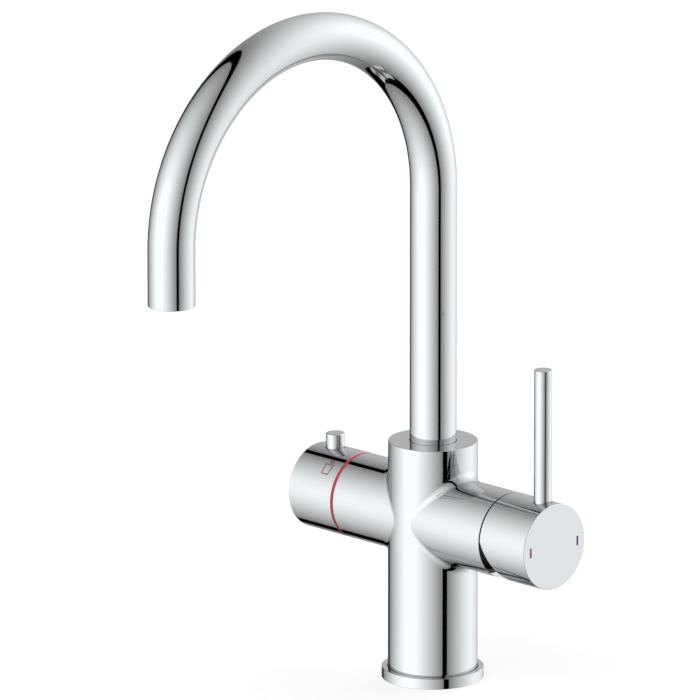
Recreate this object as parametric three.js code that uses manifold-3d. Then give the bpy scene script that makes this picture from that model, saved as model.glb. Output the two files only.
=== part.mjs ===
// Boiling water tap: a kitchen tap with a mixer arm, a boiling-water arm and a swivelling arched spout.
//
// Millimetres, +Z up. The origin is the centre of the underside, the spout points to -Y, the mixer arm
// to +X and the boiling-water arm to -X. Both arms share one horizontal axis.

import * as THREE from 'three';
import { mergeVertices } from 'three/addons/utils/BufferGeometryUtils.js';
import Module from 'manifold-3d';

const wasm = await Module();
wasm.setup();

// ---------------------------------------------------------------- clearances
const SEAT_GAP = 0.3;          // between faces that rest on each other
const FIT_GAP = 0.3;           // radial, between pieces pressed or screwed together
const RUN_GAP = 0.3;           // radial, between pieces that turn or slide in each other
const EDGE = 0.35;             // broken edge of the chromed pieces
const PAST = 1;                // how far a cut runs past the face that it opens

// ---------------------------------------------------------------- body and arms
const BODY_R = 24;
const BODY_TOP = 130.8;
const ARM_STEP = 0.75;         // the arms' radius is this much under the body's
const ARM_Z = 89.5;            // height of the arms' axis
const FILLET_R = 5;            // rolling-ball fillet between arm and body
const MIXER_ARM_END = 56.7;    // from the body's axis to the mouth of the arm
const BOILING_ARM_END = 52.4;

// ---------------------------------------------------------------- base
const RING_W = 3.35;           // the ring's ledge round the body
const RING_H = 5.8;
const RING_FLOOR = 3;          // thickness under the body
const SKIRT_WALL = 4;          // wall of the body round the manifold
const GASKET_INSET = 2.6;      // from the manifold's rim to the gasket
const GASKET_W = 3;
const GASKET_H = 1.5;
const MANIFOLD_H = 16;
const MANIFOLD_GASKET_T = 1.2;
const PORT_R = 4.4;            // hose ports in the manifold
const PORT_EDGE = 1.7;         // wall between a port and the manifold's rim
const STUD_R = 3.4;            // sockets of the fixing studs
const STUD_DEPTH = 12;
const HOT_ANGLE = -36;         // degrees, of the ports and sockets round the manifold
const COLD_ANGLE = 36;
const BOILING_ANGLE = 180;
const STUD_ANGLES = [-108, 108];

// ---------------------------------------------------------------- water ways in the casting
const RISER_R = 3.6;
const INLET_WAY_R = 2.4;       // from a riser to a cartridge
const OUTLET_WAY_R = 2.2;      // from a cartridge to the chamber
const MIXED_RISER_X = 6.5;

// ---------------------------------------------------------------- spout
const TUBE_R = 12.5;
const TUBE_WALL = 1.2;
const SPOUT_REACH = 193.5;     // from the body's axis to the outlet's axis
const SPOUT_RISE = 139.3;      // from the body's top to the start of the arch
const OUTLET_LEG = 29.4;       // straight length under the end of the arch
const SOCKET_DEPTH = 26.8;
const TUBE_SUNK = 2.5;         // how far the tube's end sits in the body
const FOOT_SPIGOT_H = 14;      // part of the foot inside the tube
const FOOT_BORE_R = 7.5;
const GLIDE_T = 1.2;
const GLIDE_W = 4;
const GLIDE_PLAY = 0.4;        // radial
const SEAL_R = 0.85;           // section radius of the foot's seals
const UPPER_SEAL_DROP = 7;     // below the body's top
const LOWER_SEAL_RISE = 5;     // above the socket's floor
const STOP_RISE = 14.5;        // stop screw above the socket's floor
const STOP_SCREW_R = 2.4;
const STOP_GROOVE_DEPTH = 2.2;
const STOP_SCREW_INSET = 1.4;  // screw head below the body's back
const SWIVEL_LIMIT = 75;       // degrees each way
const STOP_MARGIN = 3;         // degrees of groove past the screw at each limit
const CHAMBER_R = 9;           // chamber under the socket
const CHAMBER_DEPTH = 6;
const HOSE_R = 4.1;
const HOSE_BORE_R = 2.9;
const NIPPLE_BORE_R = 1.6;
const NIPPLE_WALL = 1;
const NIPPLE_FLANGE_R = 4.6;
const NIPPLE_FLANGE_T = 1.7;
const NIPPLE_SHANK = 1.5;
const NIPPLE_H = 14;
const NIPPLE_LEAD = 0.6;       // chamfer that leads the hose on
const HOSE_OVERLAP = 9;        // of the hose over the nipple and inside the outlet's nozzle
const AERATOR_INSET = 1;       // outlet insert above the tube's end
const AERATOR_H = 15;
const AERATOR_WALL = 1.5;
const INSERT_H = 4.2;
const INSERT_HOLE_R = 0.9;
const INSERT_HOLES = 12;
const NOZZLE_WALL = 1.2;
const NOZZLE_H = 12;
const WASHER_T = 1.8;
const WASHER_W = 3.2;

// ---------------------------------------------------------------- mixer arm
const MIXER_ARM_WALL = 4.65;
const MIXER_BORE_DEPTH = 32.7;
const THREAD_ROOM = 1.1;       // radial, for the nut's thread past the cartridge
const CARTRIDGE_SEAL_T = 1.3;
const CARTRIDGE_BASE_T = 4;
const CARTRIDGE_WALL = 1.9;
const FIXED_DISC_T = 3;
const MOVING_DISC_T = 2.5;
const DISC_SPARE = 0.7;        // radial, left when the moving disc is pushed all the way
const INLET_LAP = 0.8;         // of the closed disc over the rim of an inlet
const INLET_ANGLE = 51;        // degrees from straight up, of the hot and cold inlets
const RECESS_LAND = 0.4;       // between the closed disc's recess and an inlet
const OUTLET_LAND = 0.2;       // between the outlet and the recess's rim
const DISC_RECESS_DEPTH = 1.2;
const DISC_RIM = 4.4;          // from the moving disc's rim to its boss
const DISC_BOSS_H = 5;
const CARRIER_FLANGE_T = 6;
const CARRIER_SHOULDER = 4.1;
const CARRIER_NECK_PAST_PIVOT = 3.5;
const HOUSING_TOP_T = 3.2;
const HOUSING_NECK_WALL = 2.3;
const HOUSING_NECK_H = 5;
const NUT_H = 6;
const NUT_SLOT_W = 4;
const NUT_SLOT_DEPTH = 2.2;
const BALL_R = 3.4;
const BALL_OFFSET = 4;         // ball's centre above the moving disc
const BALL_ARM = 10;           // from the pivot to the ball's centre
const STEM_NECK_R = 2.6;
const STEM_R = 4;
const STEM_TAPER = 1;          // length of the step from the stem to its neck
const STEM_PIN_R = 1.5;
const STEM_PIN_SHORT = 0.7;    // of the pin's end, below the carrier's neck
const TILT_LIMIT = 20;         // degrees
const COVER_T = 1.3;
const COVER_LIP = 5.5;         // from the cover's rim to its mouth, radial
const COVER_SKIRT = 3.9;       // length inside the arm
const CAP_GAP = 0.9;           // visible seam between the arm and the cap
const CAP_LENGTH = 32.4;
const CAP_WALL = 2.65;
const CAP_CAVITY_DEPTH = 16.4;
const CAP_SOCKET_DEPTH = 12;
const RELIEF_ANGLE = 23.3;     // degrees, of the slanted lower rear edge that lets the cap tilt
const RELIEF_START = 1;        // above the axis
const LEVER_X = 81.4;
const LEVER_R = 4.75;
const LEVER_L = 72.15;         // part of the lever that shows over the cap
const LEVER_SUNK = 1.75;       // depth of the lever's counterbore
const LEVER_SHANK_R = 3.6;

// ---------------------------------------------------------------- boiling-water arm
const BOILING_ARM_WALL = 5.45;
const BOILING_BORE_DEPTH = 32.4;
const VALVE_SEAL_T = 1.3;
const VALVE_WALL = 4.7;
const VALVE_FIXED_T = 3.3;
const VALVE_MOVING_T = 3;
const VALVE_PORT_OFFSET = 5;   // of the inlet below and of the outlet above the arms' axis
const VALVE_SLOT_LAP = 0.4;    // of the slot past the ports when open, and short of them when closed
const VALVE_SLOT_DEPTH = 1.6;
const VALVE_FLANGE_T = 3.3;
const VALVE_STEM_R = 4.8;
const STEM_SEAL_R = 0.6;
const STEM_SEAL_X = 46;
const HEX_R = 14;
const HEX_T = 6.8;
const NOSE_R = 7.2;
const HEX_ROOT = 0.5;          // of the hexagon inside the nose
const NOSE_END = 77.6;
const RED_RING_W = 1.4;
const COLLAR_T = 3;
const COLLAR_W = 6.8;
const BOILING_CAP_END = 86;
const BOILING_CAP_WALL = 2.3;
const BOILING_CAP_SOLID = 7;   // solid end of the cap, round the stem's socket
const BOILING_TURN = 90;       // degrees
const BOILING_SOCKET_FLOOR = 1.6;
const HANDLE_SCREW_R = 2;
const HANDLE_SCREW_L = 8;
const HANDLE_SCREW_X = 81.8;
const HEX_SOCKET_DEPTH = 2;    // of the set screws

// ---------------------------------------------------------------- safety peg
const BUTTON_X = 73.6;
const BUTTON_R = 5.1;
const BUTTON_RISE = 7.75;      // of the peg over the cap
const BUTTON_SUNK = 1.25;      // of the peg's shoulder below the cap's surface
const BUTTON_BORE_DEPTH = 7.45;
const BUTTON_PIN_R = 2.3;
const BUTTON_TIP_SUNK = 0.6;   // of the pin's tip in the collar's slot
const BUTTON_BOSS_WALL = 3;
const BUTTON_FLOOR_T = 1.5;
const CLIP_T = 0.8;
const CLIP_R = 3.9;
const CLIP_GROOVE_R = 1.5;
const SPRING_WIRE_R = 0.35;
const SPRING_COILS = 4;
const SPRING_MEAN_R = 3.85;

// ---------------------------------------------------------------- facets
const SMOOTH = 48;             // facets round the body, arms and caps
const ROUND = 28;              // facets round inner pieces
const FINE = 16;               // facets round small bores and pins
const TINY = 10;               // facets round pins and small holes
const HEX_SIDES = 6;
const SEAL_SIDES = 6;          // facets round a seal's section
const TUBE_SIDES = 28;
const TUBE_BORE_SIDES = 18;
const TUBE_ARCH_STEPS = 26;
const HOSE_SIDES = 10;
const HOSE_ARCH_STEPS = 18;
const COVER_SIDES = 36;
const COVER_STEPS = 5;
const BALL_STEPS = 8;
const WIRE_SIDES = 5;
const STEPS_PER_COIL = 8;
const FILLET_STATIONS = 40;
const FILLET_STEPS = 3;
const WELD = 1e-4;             // corners nearer than this are one

// ---------------------------------------------------------------- places worked out from the sizes
const armR = BODY_R - ARM_STEP;
const ringR = BODY_R + RING_W;
const manifoldR = BODY_R - SKIRT_WALL - FIT_GAP;
const gasketInnerR = manifoldR + GASKET_INSET;
const portCircleR = manifoldR - PORT_R - PORT_EDGE;
const onPortCircle = (degrees) => {
  const angle = THREE.MathUtils.degToRad(degrees);
  return [portCircleR * Math.cos(angle), portCircleR * Math.sin(angle)];
};
const ports = [HOT_ANGLE, COLD_ANGLE, BOILING_ANGLE].map(onPortCircle);

const mixerBoreR = armR - MIXER_ARM_WALL;
const cartridgeR = mixerBoreR - THREAD_ROOM;
const cartridgeBoreR = cartridgeR - CARTRIDGE_WALL;
const carrierNeckR = cartridgeBoreR - CARRIER_SHOULDER;
const discTravel = BALL_ARM * THREE.MathUtils.degToRad(TILT_LIMIT);
const movingDiscR = cartridgeBoreR - discTravel - DISC_SPARE;
const inletR = movingDiscR - INLET_WAY_R - INLET_LAP;
// The recess in the moving disc joins the inlets and the outlet when the disc is pushed.
const recessR = inletR - INLET_WAY_R - RECESS_LAND;
const mixedDrop = recessR - OUTLET_WAY_R - OUTLET_LAND;
const discBossR = movingDiscR - DISC_RIM;
const inletRise = inletR * Math.cos(THREE.MathUtils.degToRad(INLET_ANGLE));
const inletY = inletR * Math.sin(THREE.MathUtils.degToRad(INLET_ANGLE));
const mixerWall = MIXER_ARM_END - MIXER_BORE_DEPTH;
const sealBase = mixerWall + SEAT_GAP;
const cartridgeBase = sealBase + CARTRIDGE_SEAL_T + SEAT_GAP;
const fixedDisc = cartridgeBase + CARTRIDGE_BASE_T + SEAT_GAP;
const movingDisc = fixedDisc + FIXED_DISC_T + SEAT_GAP;
const movingDiscTop = movingDisc + MOVING_DISC_T;
const ballX = movingDiscTop + BALL_OFFSET;
const pivotX = ballX + BALL_ARM;
const carrier = movingDiscTop + 2 * SEAT_GAP;
const housingTop = carrier + CARRIER_FLANGE_T + SEAT_GAP;
const nut = housingTop + HOUSING_TOP_T + SEAT_GAP;
const capStart = MIXER_ARM_END + CAP_GAP;
const capEnd = capStart + CAP_LENGTH;
const capCavityR = armR - CAP_WALL;
const coverR = mixerBoreR - FIT_GAP;
const coverMouthR = coverR - COVER_LIP;
const leverTop = armR + LEVER_L;
const leverSeat = armR - LEVER_SUNK;

const boilingBoreR = armR - BOILING_ARM_WALL;
const valveR = boilingBoreR - FIT_GAP;
const valveChamberR = valveR - VALVE_WALL;
const boilingWall = BOILING_ARM_END - BOILING_BORE_DEPTH;
const valveSeal = boilingWall + SEAT_GAP;
const valveBase = valveSeal + VALVE_SEAL_T + SEAT_GAP;
const valveMoving = valveBase + VALVE_FIXED_T + SEAT_GAP;
const valveFlange = valveMoving + VALVE_MOVING_T + SEAT_GAP;
const valveChamberEnd = valveFlange + VALVE_FLANGE_T + SEAT_GAP;
const redRing = BOILING_ARM_END + SEAT_GAP;
const boilingCapStart = redRing + RED_RING_W + SEAT_GAP;
const boilingCapCavity = BOILING_CAP_END - BOILING_CAP_SOLID;
const boilingCapCavityR = armR - BOILING_CAP_WALL;
const boilingStemEnd = BOILING_CAP_END - BOILING_SOCKET_FLOOR - SEAT_GAP;
const collarInnerR = NOSE_R + FIT_GAP;
const collarR = collarInnerR + COLLAR_T;
const buttonTop = armR + BUTTON_RISE;
const buttonShoulder = armR - BUTTON_SUNK;
const buttonFloor = armR - BUTTON_BORE_DEPTH;
const buttonTip = collarR - BUTTON_TIP_SUNK;

const bodyBottom = RING_FLOOR + SEAT_GAP;
const footBoreTop = MANIFOLD_H + MANIFOLD_GASKET_T + 2 * SEAT_GAP;
const socketFloor = BODY_TOP - SOCKET_DEPTH;
const socketR = TUBE_R + RUN_GAP;
const chamberFloor = socketFloor - CHAMBER_DEPTH;
const nippleShankR = NIPPLE_BORE_R + NIPPLE_WALL;
const tubeStart = BODY_TOP - TUBE_SUNK;
const tubeBoreR = TUBE_R - TUBE_WALL;
const archZ = BODY_TOP + SPOUT_RISE;
const archR = SPOUT_REACH / 2;
const outletZ = archZ - OUTLET_LEG;
const stopZ = socketFloor + STOP_RISE;

// ---------------------------------------------------------------- solids
function solid(geometry) {
  const bare = new THREE.BufferGeometry();
  bare.setAttribute('position', geometry.getAttribute('position'));
  bare.setIndex(geometry.index);
  const merged = mergeVertices(bare, WELD);
  const vertProperties = new Float32Array(merged.getAttribute('position').array);
  const corners = merged.index.array;
  const triVerts = [];
  for (let i = 0; i < corners.length; i += 3) {
    const [a, b, c] = [corners[i], corners[i + 1], corners[i + 2]];
    if (a !== b && b !== c && c !== a) triVerts.push(a, b, c);
  }
  const build = (list) => new wasm.Manifold(
    new wasm.Mesh({ numProp: 3, vertProperties, triVerts: new Uint32Array(list) }),
  );
  const made = build(triVerts);
  return made.volume() < 0 ? build(triVerts.reverse()) : made;
}

function join(first, ...others) {
  return others.reduce((whole, other) => whole.add(other), first);
}

function cut(first, ...others) {
  return others.reduce((rest, other) => rest.subtract(other), first);
}

// A profile is a list of [radius, height]. It starts and ends on the axis, or is closed here.
function turned(profile, facets = ROUND) {
  const points = profile.map(([radius, height]) => new THREE.Vector2(radius, height));
  if (profile[0][0] > 0) points.push(points[0].clone());
  return new THREE.LatheGeometry(points, facets).rotateX(Math.PI / 2);
}

function rod(radius, low, high, facets = ROUND) {
  return turned([[0, low], [radius, low], [radius, high], [0, high]], facets);
}

function sleeve(inner, outer, low, high, facets = ROUND) {
  return turned([[inner, low], [outer, low], [outer, high], [inner, high]], facets);
}

function sector(inner, outer, fromDegrees, toDegrees, low, high) {
  const from = THREE.MathUtils.degToRad(fromDegrees);
  const to = THREE.MathUtils.degToRad(toDegrees);
  const shape = new THREE.Shape();
  shape.absarc(0, 0, outer, from, to, false);
  shape.absarc(0, 0, inner, to, from, true);
  const geometry = new THREE.ExtrudeGeometry(shape, {
    depth: high - low, bevelEnabled: false, curveSegments: FINE,
  });
  return geometry.translate(0, 0, low);
}

// A ring of round section about the Z axis.
function torus(radius, section, height) {
  return new THREE.TorusGeometry(radius, section, SEAL_SIDES, ROUND).translate(0, 0, height);
}

function arc(centreHeight, radius, fromHeight, toHeight, steps) {
  const points = [];
  const from = Math.asin((fromHeight - centreHeight) / radius);
  const to = Math.asin((toHeight - centreHeight) / radius);
  for (let i = 0; i <= steps; i += 1) {
    const angle = THREE.MathUtils.lerp(from, to, i / steps);
    points.push([radius * Math.cos(angle), centreHeight + radius * Math.sin(angle)]);
  }
  return points;
}

// Frames: an arm's own frame has its axis on Z. In the mixer arm +X points down, in the other arm up.
const toMixerArm = new THREE.Matrix4().makeRotationY(Math.PI / 2).setPosition(0, 0, ARM_Z);
const toBoilingArm = new THREE.Matrix4().makeRotationY(-Math.PI / 2).setPosition(0, 0, ARM_Z);
const up = (geometry) => geometry.rotateY(Math.PI / 2);
const alongY = (geometry) => geometry.rotateX(-Math.PI / 2);

// ---------------------------------------------------------------- body
// A ball rolled round the corner between body and arm touches both along a curve. Each section runs
// from the body's contact to the arm's contact round the ball, and closes on a point inside the arm.
function armFillet(side) {
  const ROOT = 2;
  const perSection = FILLET_STEPS + 2;
  const positions = [];
  for (let i = 0; i < FILLET_STATIONS; i += 1) {
    const turn = (2 * Math.PI * i) / FILLET_STATIONS;
    const y = (armR + FILLET_R) * Math.sin(turn);
    const z = (armR + FILLET_R) * Math.cos(turn);
    const x = Math.sqrt((BODY_R + FILLET_R) ** 2 - y ** 2);
    const centre = new THREE.Vector3(x, y, z);
    const onBody = BODY_R / (BODY_R + FILLET_R);
    const onArm = armR / (armR + FILLET_R);
    const fromBody = new THREE.Vector3(x * onBody, y * onBody, z).sub(centre);
    const fromArm = new THREE.Vector3(x, y * onArm, z * onArm).sub(centre);
    const angle = fromBody.angleTo(fromArm);
    for (let k = 0; k <= FILLET_STEPS; k += 1) {
      const share = k / FILLET_STEPS;
      const point = centre.clone()
        .addScaledVector(fromBody, Math.sin((1 - share) * angle) / Math.sin(angle))
        .addScaledVector(fromArm, Math.sin(share * angle) / Math.sin(angle));
      positions.push(side * point.x, point.y, ARM_Z + point.z);
    }
    const inside = (armR - ROOT) / (armR + FILLET_R);
    positions.push(side * (x * onBody - ROOT), y * inside, ARM_Z + z * inside);
  }
  const index = [];
  for (let i = 0; i < FILLET_STATIONS; i += 1) {
    for (let k = 0; k < perSection; k += 1) {
      const a = i * perSection + k;
      const b = i * perSection + (k + 1) % perSection;
      const c = ((i + 1) % FILLET_STATIONS) * perSection + k;
      const d = ((i + 1) % FILLET_STATIONS) * perSection + (k + 1) % perSection;
      index.push(a, b, c, b, d, c);
    }
  }
  const geometry = new THREE.BufferGeometry();
  geometry.setAttribute('position', new THREE.Float32BufferAttribute(positions, 3));
  geometry.setIndex(index);
  return geometry;
}

function riser(x, y, top) {
  return rod(RISER_R, footBoreTop - PAST, top, FINE).translate(x, y, 0);
}

function bodyCasting() {
  const nippleSeat = chamberFloor - NIPPLE_SHANK - SEAT_GAP;
  const column = turned([
    [0, bodyBottom], [BODY_R, bodyBottom], [BODY_R, BODY_TOP - EDGE], [BODY_R - EDGE, BODY_TOP],
    [0, BODY_TOP],
  ], SMOOTH);
  const arm = (end) => turned([
    [0, 0], [armR, 0], [armR, end - EDGE], [armR - EDGE, end], [0, end],
  ], SMOOTH);
  const shell = join(
    solid(column),
    solid(arm(MIXER_ARM_END).applyMatrix4(toMixerArm)),
    solid(arm(BOILING_ARM_END).applyMatrix4(toBoilingArm)),
    solid(armFillet(1)),
    solid(armFillet(-1)),
  );
  const hollows = [
    rod(manifoldR + FIT_GAP, bodyBottom - PAST, footBoreTop),
    rod(socketR, socketFloor, BODY_TOP + PAST),
    rod(CHAMBER_R, chamberFloor, socketFloor + PAST),
    rod(nippleShankR + FIT_GAP, nippleSeat, chamberFloor + PAST, FINE),
    alongY(rod(STOP_SCREW_R + FIT_GAP, socketR - PAST, BODY_R + PAST, FINE)).translate(0, 0, stopZ),
    rod(mixerBoreR, mixerWall, MIXER_ARM_END + PAST).applyMatrix4(toMixerArm),
    rod(boilingBoreR, boilingWall, BOILING_ARM_END + PAST).applyMatrix4(toBoilingArm),
  ];
  const [hot, cold, boiling] = ports;
  const sideWay = (radius, from, to, frame, y, rise) => rod(radius, from, to, FINE)
    .applyMatrix4(frame).translate(0, y, rise);
  const mixedZ = ARM_Z - mixedDrop;
  const boilingOutZ = ARM_Z + VALVE_PORT_OFFSET;
  const ways = [
    riser(...hot, ARM_Z + inletRise),
    riser(...cold, ARM_Z + inletRise),
    sideWay(INLET_WAY_R, hot[0], mixerWall + PAST, toMixerArm, -inletY, inletRise),
    sideWay(INLET_WAY_R, cold[0], mixerWall + PAST, toMixerArm, inletY, inletRise),
    sideWay(OUTLET_WAY_R, MIXED_RISER_X, mixerWall + PAST, toMixerArm, 0, -mixedDrop),
    rod(OUTLET_WAY_R, mixedZ, chamberFloor + PAST, FINE).translate(MIXED_RISER_X, 0, 0),
    riser(...boiling, ARM_Z - VALVE_PORT_OFFSET),
    sideWay(INLET_WAY_R, -boiling[0], boilingWall + PAST, toBoilingArm, 0, -VALVE_PORT_OFFSET),
    sideWay(OUTLET_WAY_R, 0, boilingWall + PAST, toBoilingArm, 0, VALVE_PORT_OFFSET),
    rod(OUTLET_WAY_R, boilingOutZ, chamberFloor, FINE),
  ];
  return cut(shell, ...hollows.map(solid), ...ways.map(solid));
}

// ---------------------------------------------------------------- base
function baseRing() {
  const grooveInner = gasketInnerR - FIT_GAP;
  const grooveOuter = gasketInnerR + GASKET_W + FIT_GAP;
  const grooveTop = GASKET_H + SEAT_GAP;
  const boreR = manifoldR + FIT_GAP;
  const recessR = BODY_R + FIT_GAP;
  return solid(turned([
    [boreR, 0], [grooveInner, 0], [grooveInner, grooveTop], [grooveOuter, grooveTop], [grooveOuter, 0],
    [ringR, 0], [ringR, RING_H - EDGE], [ringR - EDGE, RING_H], [recessR, RING_H],
    [recessR, RING_FLOOR], [boreR, RING_FLOOR],
  ], SMOOTH));
}

function baseGasket() {
  return solid(sleeve(gasketInnerR, gasketInnerR + GASKET_W, 0, GASKET_H));
}

function portHoles(radius, low, high) {
  return ports.map(([x, y]) => solid(rod(radius, low, high, FINE).translate(x, y, 0)));
}

function inletManifold() {
  const plug = solid(rod(manifoldR, 0, MANIFOLD_H));
  const studs = STUD_ANGLES.map((degrees) => solid(
    rod(STUD_R, -PAST, STUD_DEPTH, FINE).translate(...onPortCircle(degrees), 0),
  ));
  return cut(plug, ...portHoles(PORT_R, -PAST, MANIFOLD_H + PAST), ...studs);
}

function manifoldGasket() {
  const low = MANIFOLD_H + SEAT_GAP;
  const high = low + MANIFOLD_GASKET_T;
  return cut(solid(rod(manifoldR, low, high)), ...portHoles(RISER_R, low - PAST, high + PAST));
}

// ---------------------------------------------------------------- spout
// Centre line of the spout: a straight rise, a half circle and a straight outlet leg, sampled so that
// the arch takes most of the steps.
class SpoutLine extends THREE.Curve {
  constructor(low, outlet, archSteps) {
    super();
    this.low = low;
    this.outlet = outlet;
    this.archSteps = archSteps;
    this.steps = archSteps + 2;
  }

  getUtoTmapping(u) {
    return u;
  }

  getPoint(t, target = new THREE.Vector3()) {
    const station = t * this.steps;
    if (station <= 1) {
      return target.set(0, 0, THREE.MathUtils.lerp(this.low, archZ, station));
    }
    if (station >= this.steps - 1) {
      const share = station - (this.steps - 1);
      return target.set(0, -SPOUT_REACH, THREE.MathUtils.lerp(archZ, this.outlet, share));
    }
    const angle = (Math.PI * (station - 1)) / this.archSteps;
    return target.set(0, -archR * (1 - Math.cos(angle)), archZ + archR * Math.sin(angle));
  }

  getTangent(t, target = new THREE.Vector3()) {
    const station = THREE.MathUtils.clamp(t * this.steps - 1, 0, this.archSteps);
    const angle = (Math.PI * station) / this.archSteps;
    return target.set(0, -Math.sin(angle), Math.cos(angle));
  }
}

function spoutSweep(radius, low, outlet, facets, archSteps) {
  const circle = new THREE.Shape();
  circle.absarc(0, 0, radius, 0, 2 * Math.PI, false);
  const line = new SpoutLine(low, outlet, archSteps);
  return solid(new THREE.ExtrudeGeometry(circle, {
    steps: line.steps, extrudePath: line, curveSegments: facets / 2, bevelEnabled: false,
  }));
}

function spoutTube() {
  return cut(
    spoutSweep(TUBE_R, tubeStart, outletZ, TUBE_SIDES, TUBE_ARCH_STEPS),
    spoutSweep(tubeBoreR, tubeStart - PAST, outletZ - PAST, TUBE_BORE_SIDES, TUBE_ARCH_STEPS),
  );
}

const footBottom = socketFloor + GLIDE_T + 2 * SEAT_GAP;

function sealGroove(height, shaftR, section) {
  const half = section + RUN_GAP;
  const floor = shaftR - 2 * section - FIT_GAP;
  return [[shaftR, height - half], [floor, height - half], [floor, height + half],
    [shaftR, height + half]];
}

function spoutFoot() {
  const shoulder = tubeStart - SEAT_GAP;
  const spigotR = tubeBoreR - FIT_GAP;
  const body = solid(turned([
    [FOOT_BORE_R, footBottom], [TUBE_R, footBottom],
    ...sealGroove(socketFloor + LOWER_SEAL_RISE, TUBE_R, SEAL_R),
    ...sealGroove(BODY_TOP - UPPER_SEAL_DROP, TUBE_R, SEAL_R),
    [TUBE_R, shoulder], [spigotR, shoulder], [spigotR, shoulder + FOOT_SPIGOT_H],
    [FOOT_BORE_R, shoulder + FOOT_SPIGOT_H],
  ]));
  const screwHalfAngle = THREE.MathUtils.radToDeg(
    Math.asin((STOP_SCREW_R + RUN_GAP) / (TUBE_R - STOP_GROOVE_DEPTH)),
  );
  const swing = SWIVEL_LIMIT + screwHalfAngle + STOP_MARGIN;
  const halfWidth = STOP_SCREW_R + RUN_GAP;
  const groove = sector(
    TUBE_R - STOP_GROOVE_DEPTH, TUBE_R + PAST, 90 - swing, 90 + swing, stopZ - halfWidth,
    stopZ + halfWidth,
  );
  return cut(body, solid(groove));
}

function spoutSeal(height) {
  return solid(torus(TUBE_R - SEAL_R, SEAL_R, height));
}

function spoutGlideRing() {
  const low = socketFloor + SEAT_GAP;
  const outer = socketR - GLIDE_PLAY;
  return solid(sleeve(outer - GLIDE_W, outer, low, low + GLIDE_T));
}

function setScrew(radius, tip, head) {
  return cut(
    solid(rod(radius, tip, head, FINE)),
    solid(rod(radius / 2, head - HEX_SOCKET_DEPTH, head + PAST, HEX_SIDES)),
  );
}

function spoutStopScrew() {
  const tip = TUBE_R - STOP_GROOVE_DEPTH + RUN_GAP;
  return setScrew(STOP_SCREW_R, tip, BODY_R - STOP_SCREW_INSET);
}

function boilingNipple() {
  const flange = chamberFloor + SEAT_GAP;
  const tail = flange + NIPPLE_FLANGE_T;
  const tailR = HOSE_BORE_R - RUN_GAP;
  return solid(turned([
    [NIPPLE_BORE_R, flange - NIPPLE_SHANK], [nippleShankR, flange - NIPPLE_SHANK],
    [nippleShankR, flange],
    [NIPPLE_FLANGE_R, flange], [NIPPLE_FLANGE_R, tail], [tailR, tail],
    [tailR, flange + NIPPLE_H - NIPPLE_LEAD], [tailR - NIPPLE_LEAD, flange + NIPPLE_H],
    [NIPPLE_BORE_R, flange + NIPPLE_H],
  ], FINE));
}

const insertBottom = outletZ + AERATOR_INSET;
const hoseEnd = insertBottom + INSERT_H + NOZZLE_H - HOSE_OVERLAP;

function boilingHose() {
  const low = chamberFloor + SEAT_GAP + NIPPLE_H - HOSE_OVERLAP;
  return cut(
    spoutSweep(HOSE_R, low, hoseEnd, HOSE_SIDES, HOSE_ARCH_STEPS),
    spoutSweep(HOSE_BORE_R, low - PAST, hoseEnd - PAST, HOSE_SIDES, HOSE_ARCH_STEPS),
  );
}

function aeratorHousing() {
  const outer = tubeBoreR - FIT_GAP;
  return solid(sleeve(outer - AERATOR_WALL, outer, insertBottom, insertBottom + AERATOR_H));
}

function aeratorInsert() {
  const discR = tubeBoreR - AERATOR_WALL - 2 * FIT_GAP;
  const bore = HOSE_R + FIT_GAP;
  const top = insertBottom + INSERT_H;
  const body = solid(turned([
    [HOSE_BORE_R, insertBottom], [discR, insertBottom], [discR, top], [bore + NOZZLE_WALL, top],
    [bore + NOZZLE_WALL, top + NOZZLE_H], [bore, top + NOZZLE_H], [bore, hoseEnd - SEAT_GAP],
    [HOSE_BORE_R, hoseEnd - SEAT_GAP],
  ]));
  const holeCircleR = (bore + NOZZLE_WALL + discR) / 2;
  const holes = [];
  for (let i = 0; i < INSERT_HOLES; i += 1) {
    const turn = (2 * Math.PI * i) / INSERT_HOLES;
    const hole = rod(INSERT_HOLE_R, insertBottom - PAST, top + PAST, HEX_SIDES);
    holes.push(solid(hole.translate(holeCircleR * Math.cos(turn), holeCircleR * Math.sin(turn), 0)));
  }
  return cut(body, ...holes);
}

function aeratorWasher() {
  const outer = tubeBoreR - FIT_GAP;
  const low = insertBottom + AERATOR_H + SEAT_GAP;
  return solid(sleeve(outer - WASHER_W, outer, low, low + WASHER_T));
}

// ---------------------------------------------------------------- mixer arm, in its own frame
function mixerPortHoles(low, high) {
  const hole = (radius, x, y) => solid(rod(radius, low, high, TINY).translate(x, y, 0));
  return [
    hole(INLET_WAY_R, -inletRise, -inletY),
    hole(INLET_WAY_R, -inletRise, inletY),
    hole(OUTLET_WAY_R, mixedDrop, 0),
  ];
}

function portedDisc(radius, low, thickness) {
  return cut(
    solid(rod(radius, low, low + thickness)),
    ...mixerPortHoles(low - PAST, low + thickness + PAST),
  );
}

function cartridgeHousing() {
  const neckBore = carrierNeckR + RUN_GAP;
  const neckR = neckBore + HOUSING_NECK_WALL;
  const top = housingTop + HOUSING_TOP_T;
  return solid(turned([
    [cartridgeBoreR, fixedDisc], [cartridgeR, fixedDisc], [cartridgeR, top], [neckR, top],
    [neckR, top + HOUSING_NECK_H], [neckBore, top + HOUSING_NECK_H], [neckBore, housingTop],
    [cartridgeBoreR, housingTop],
  ]));
}

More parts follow.
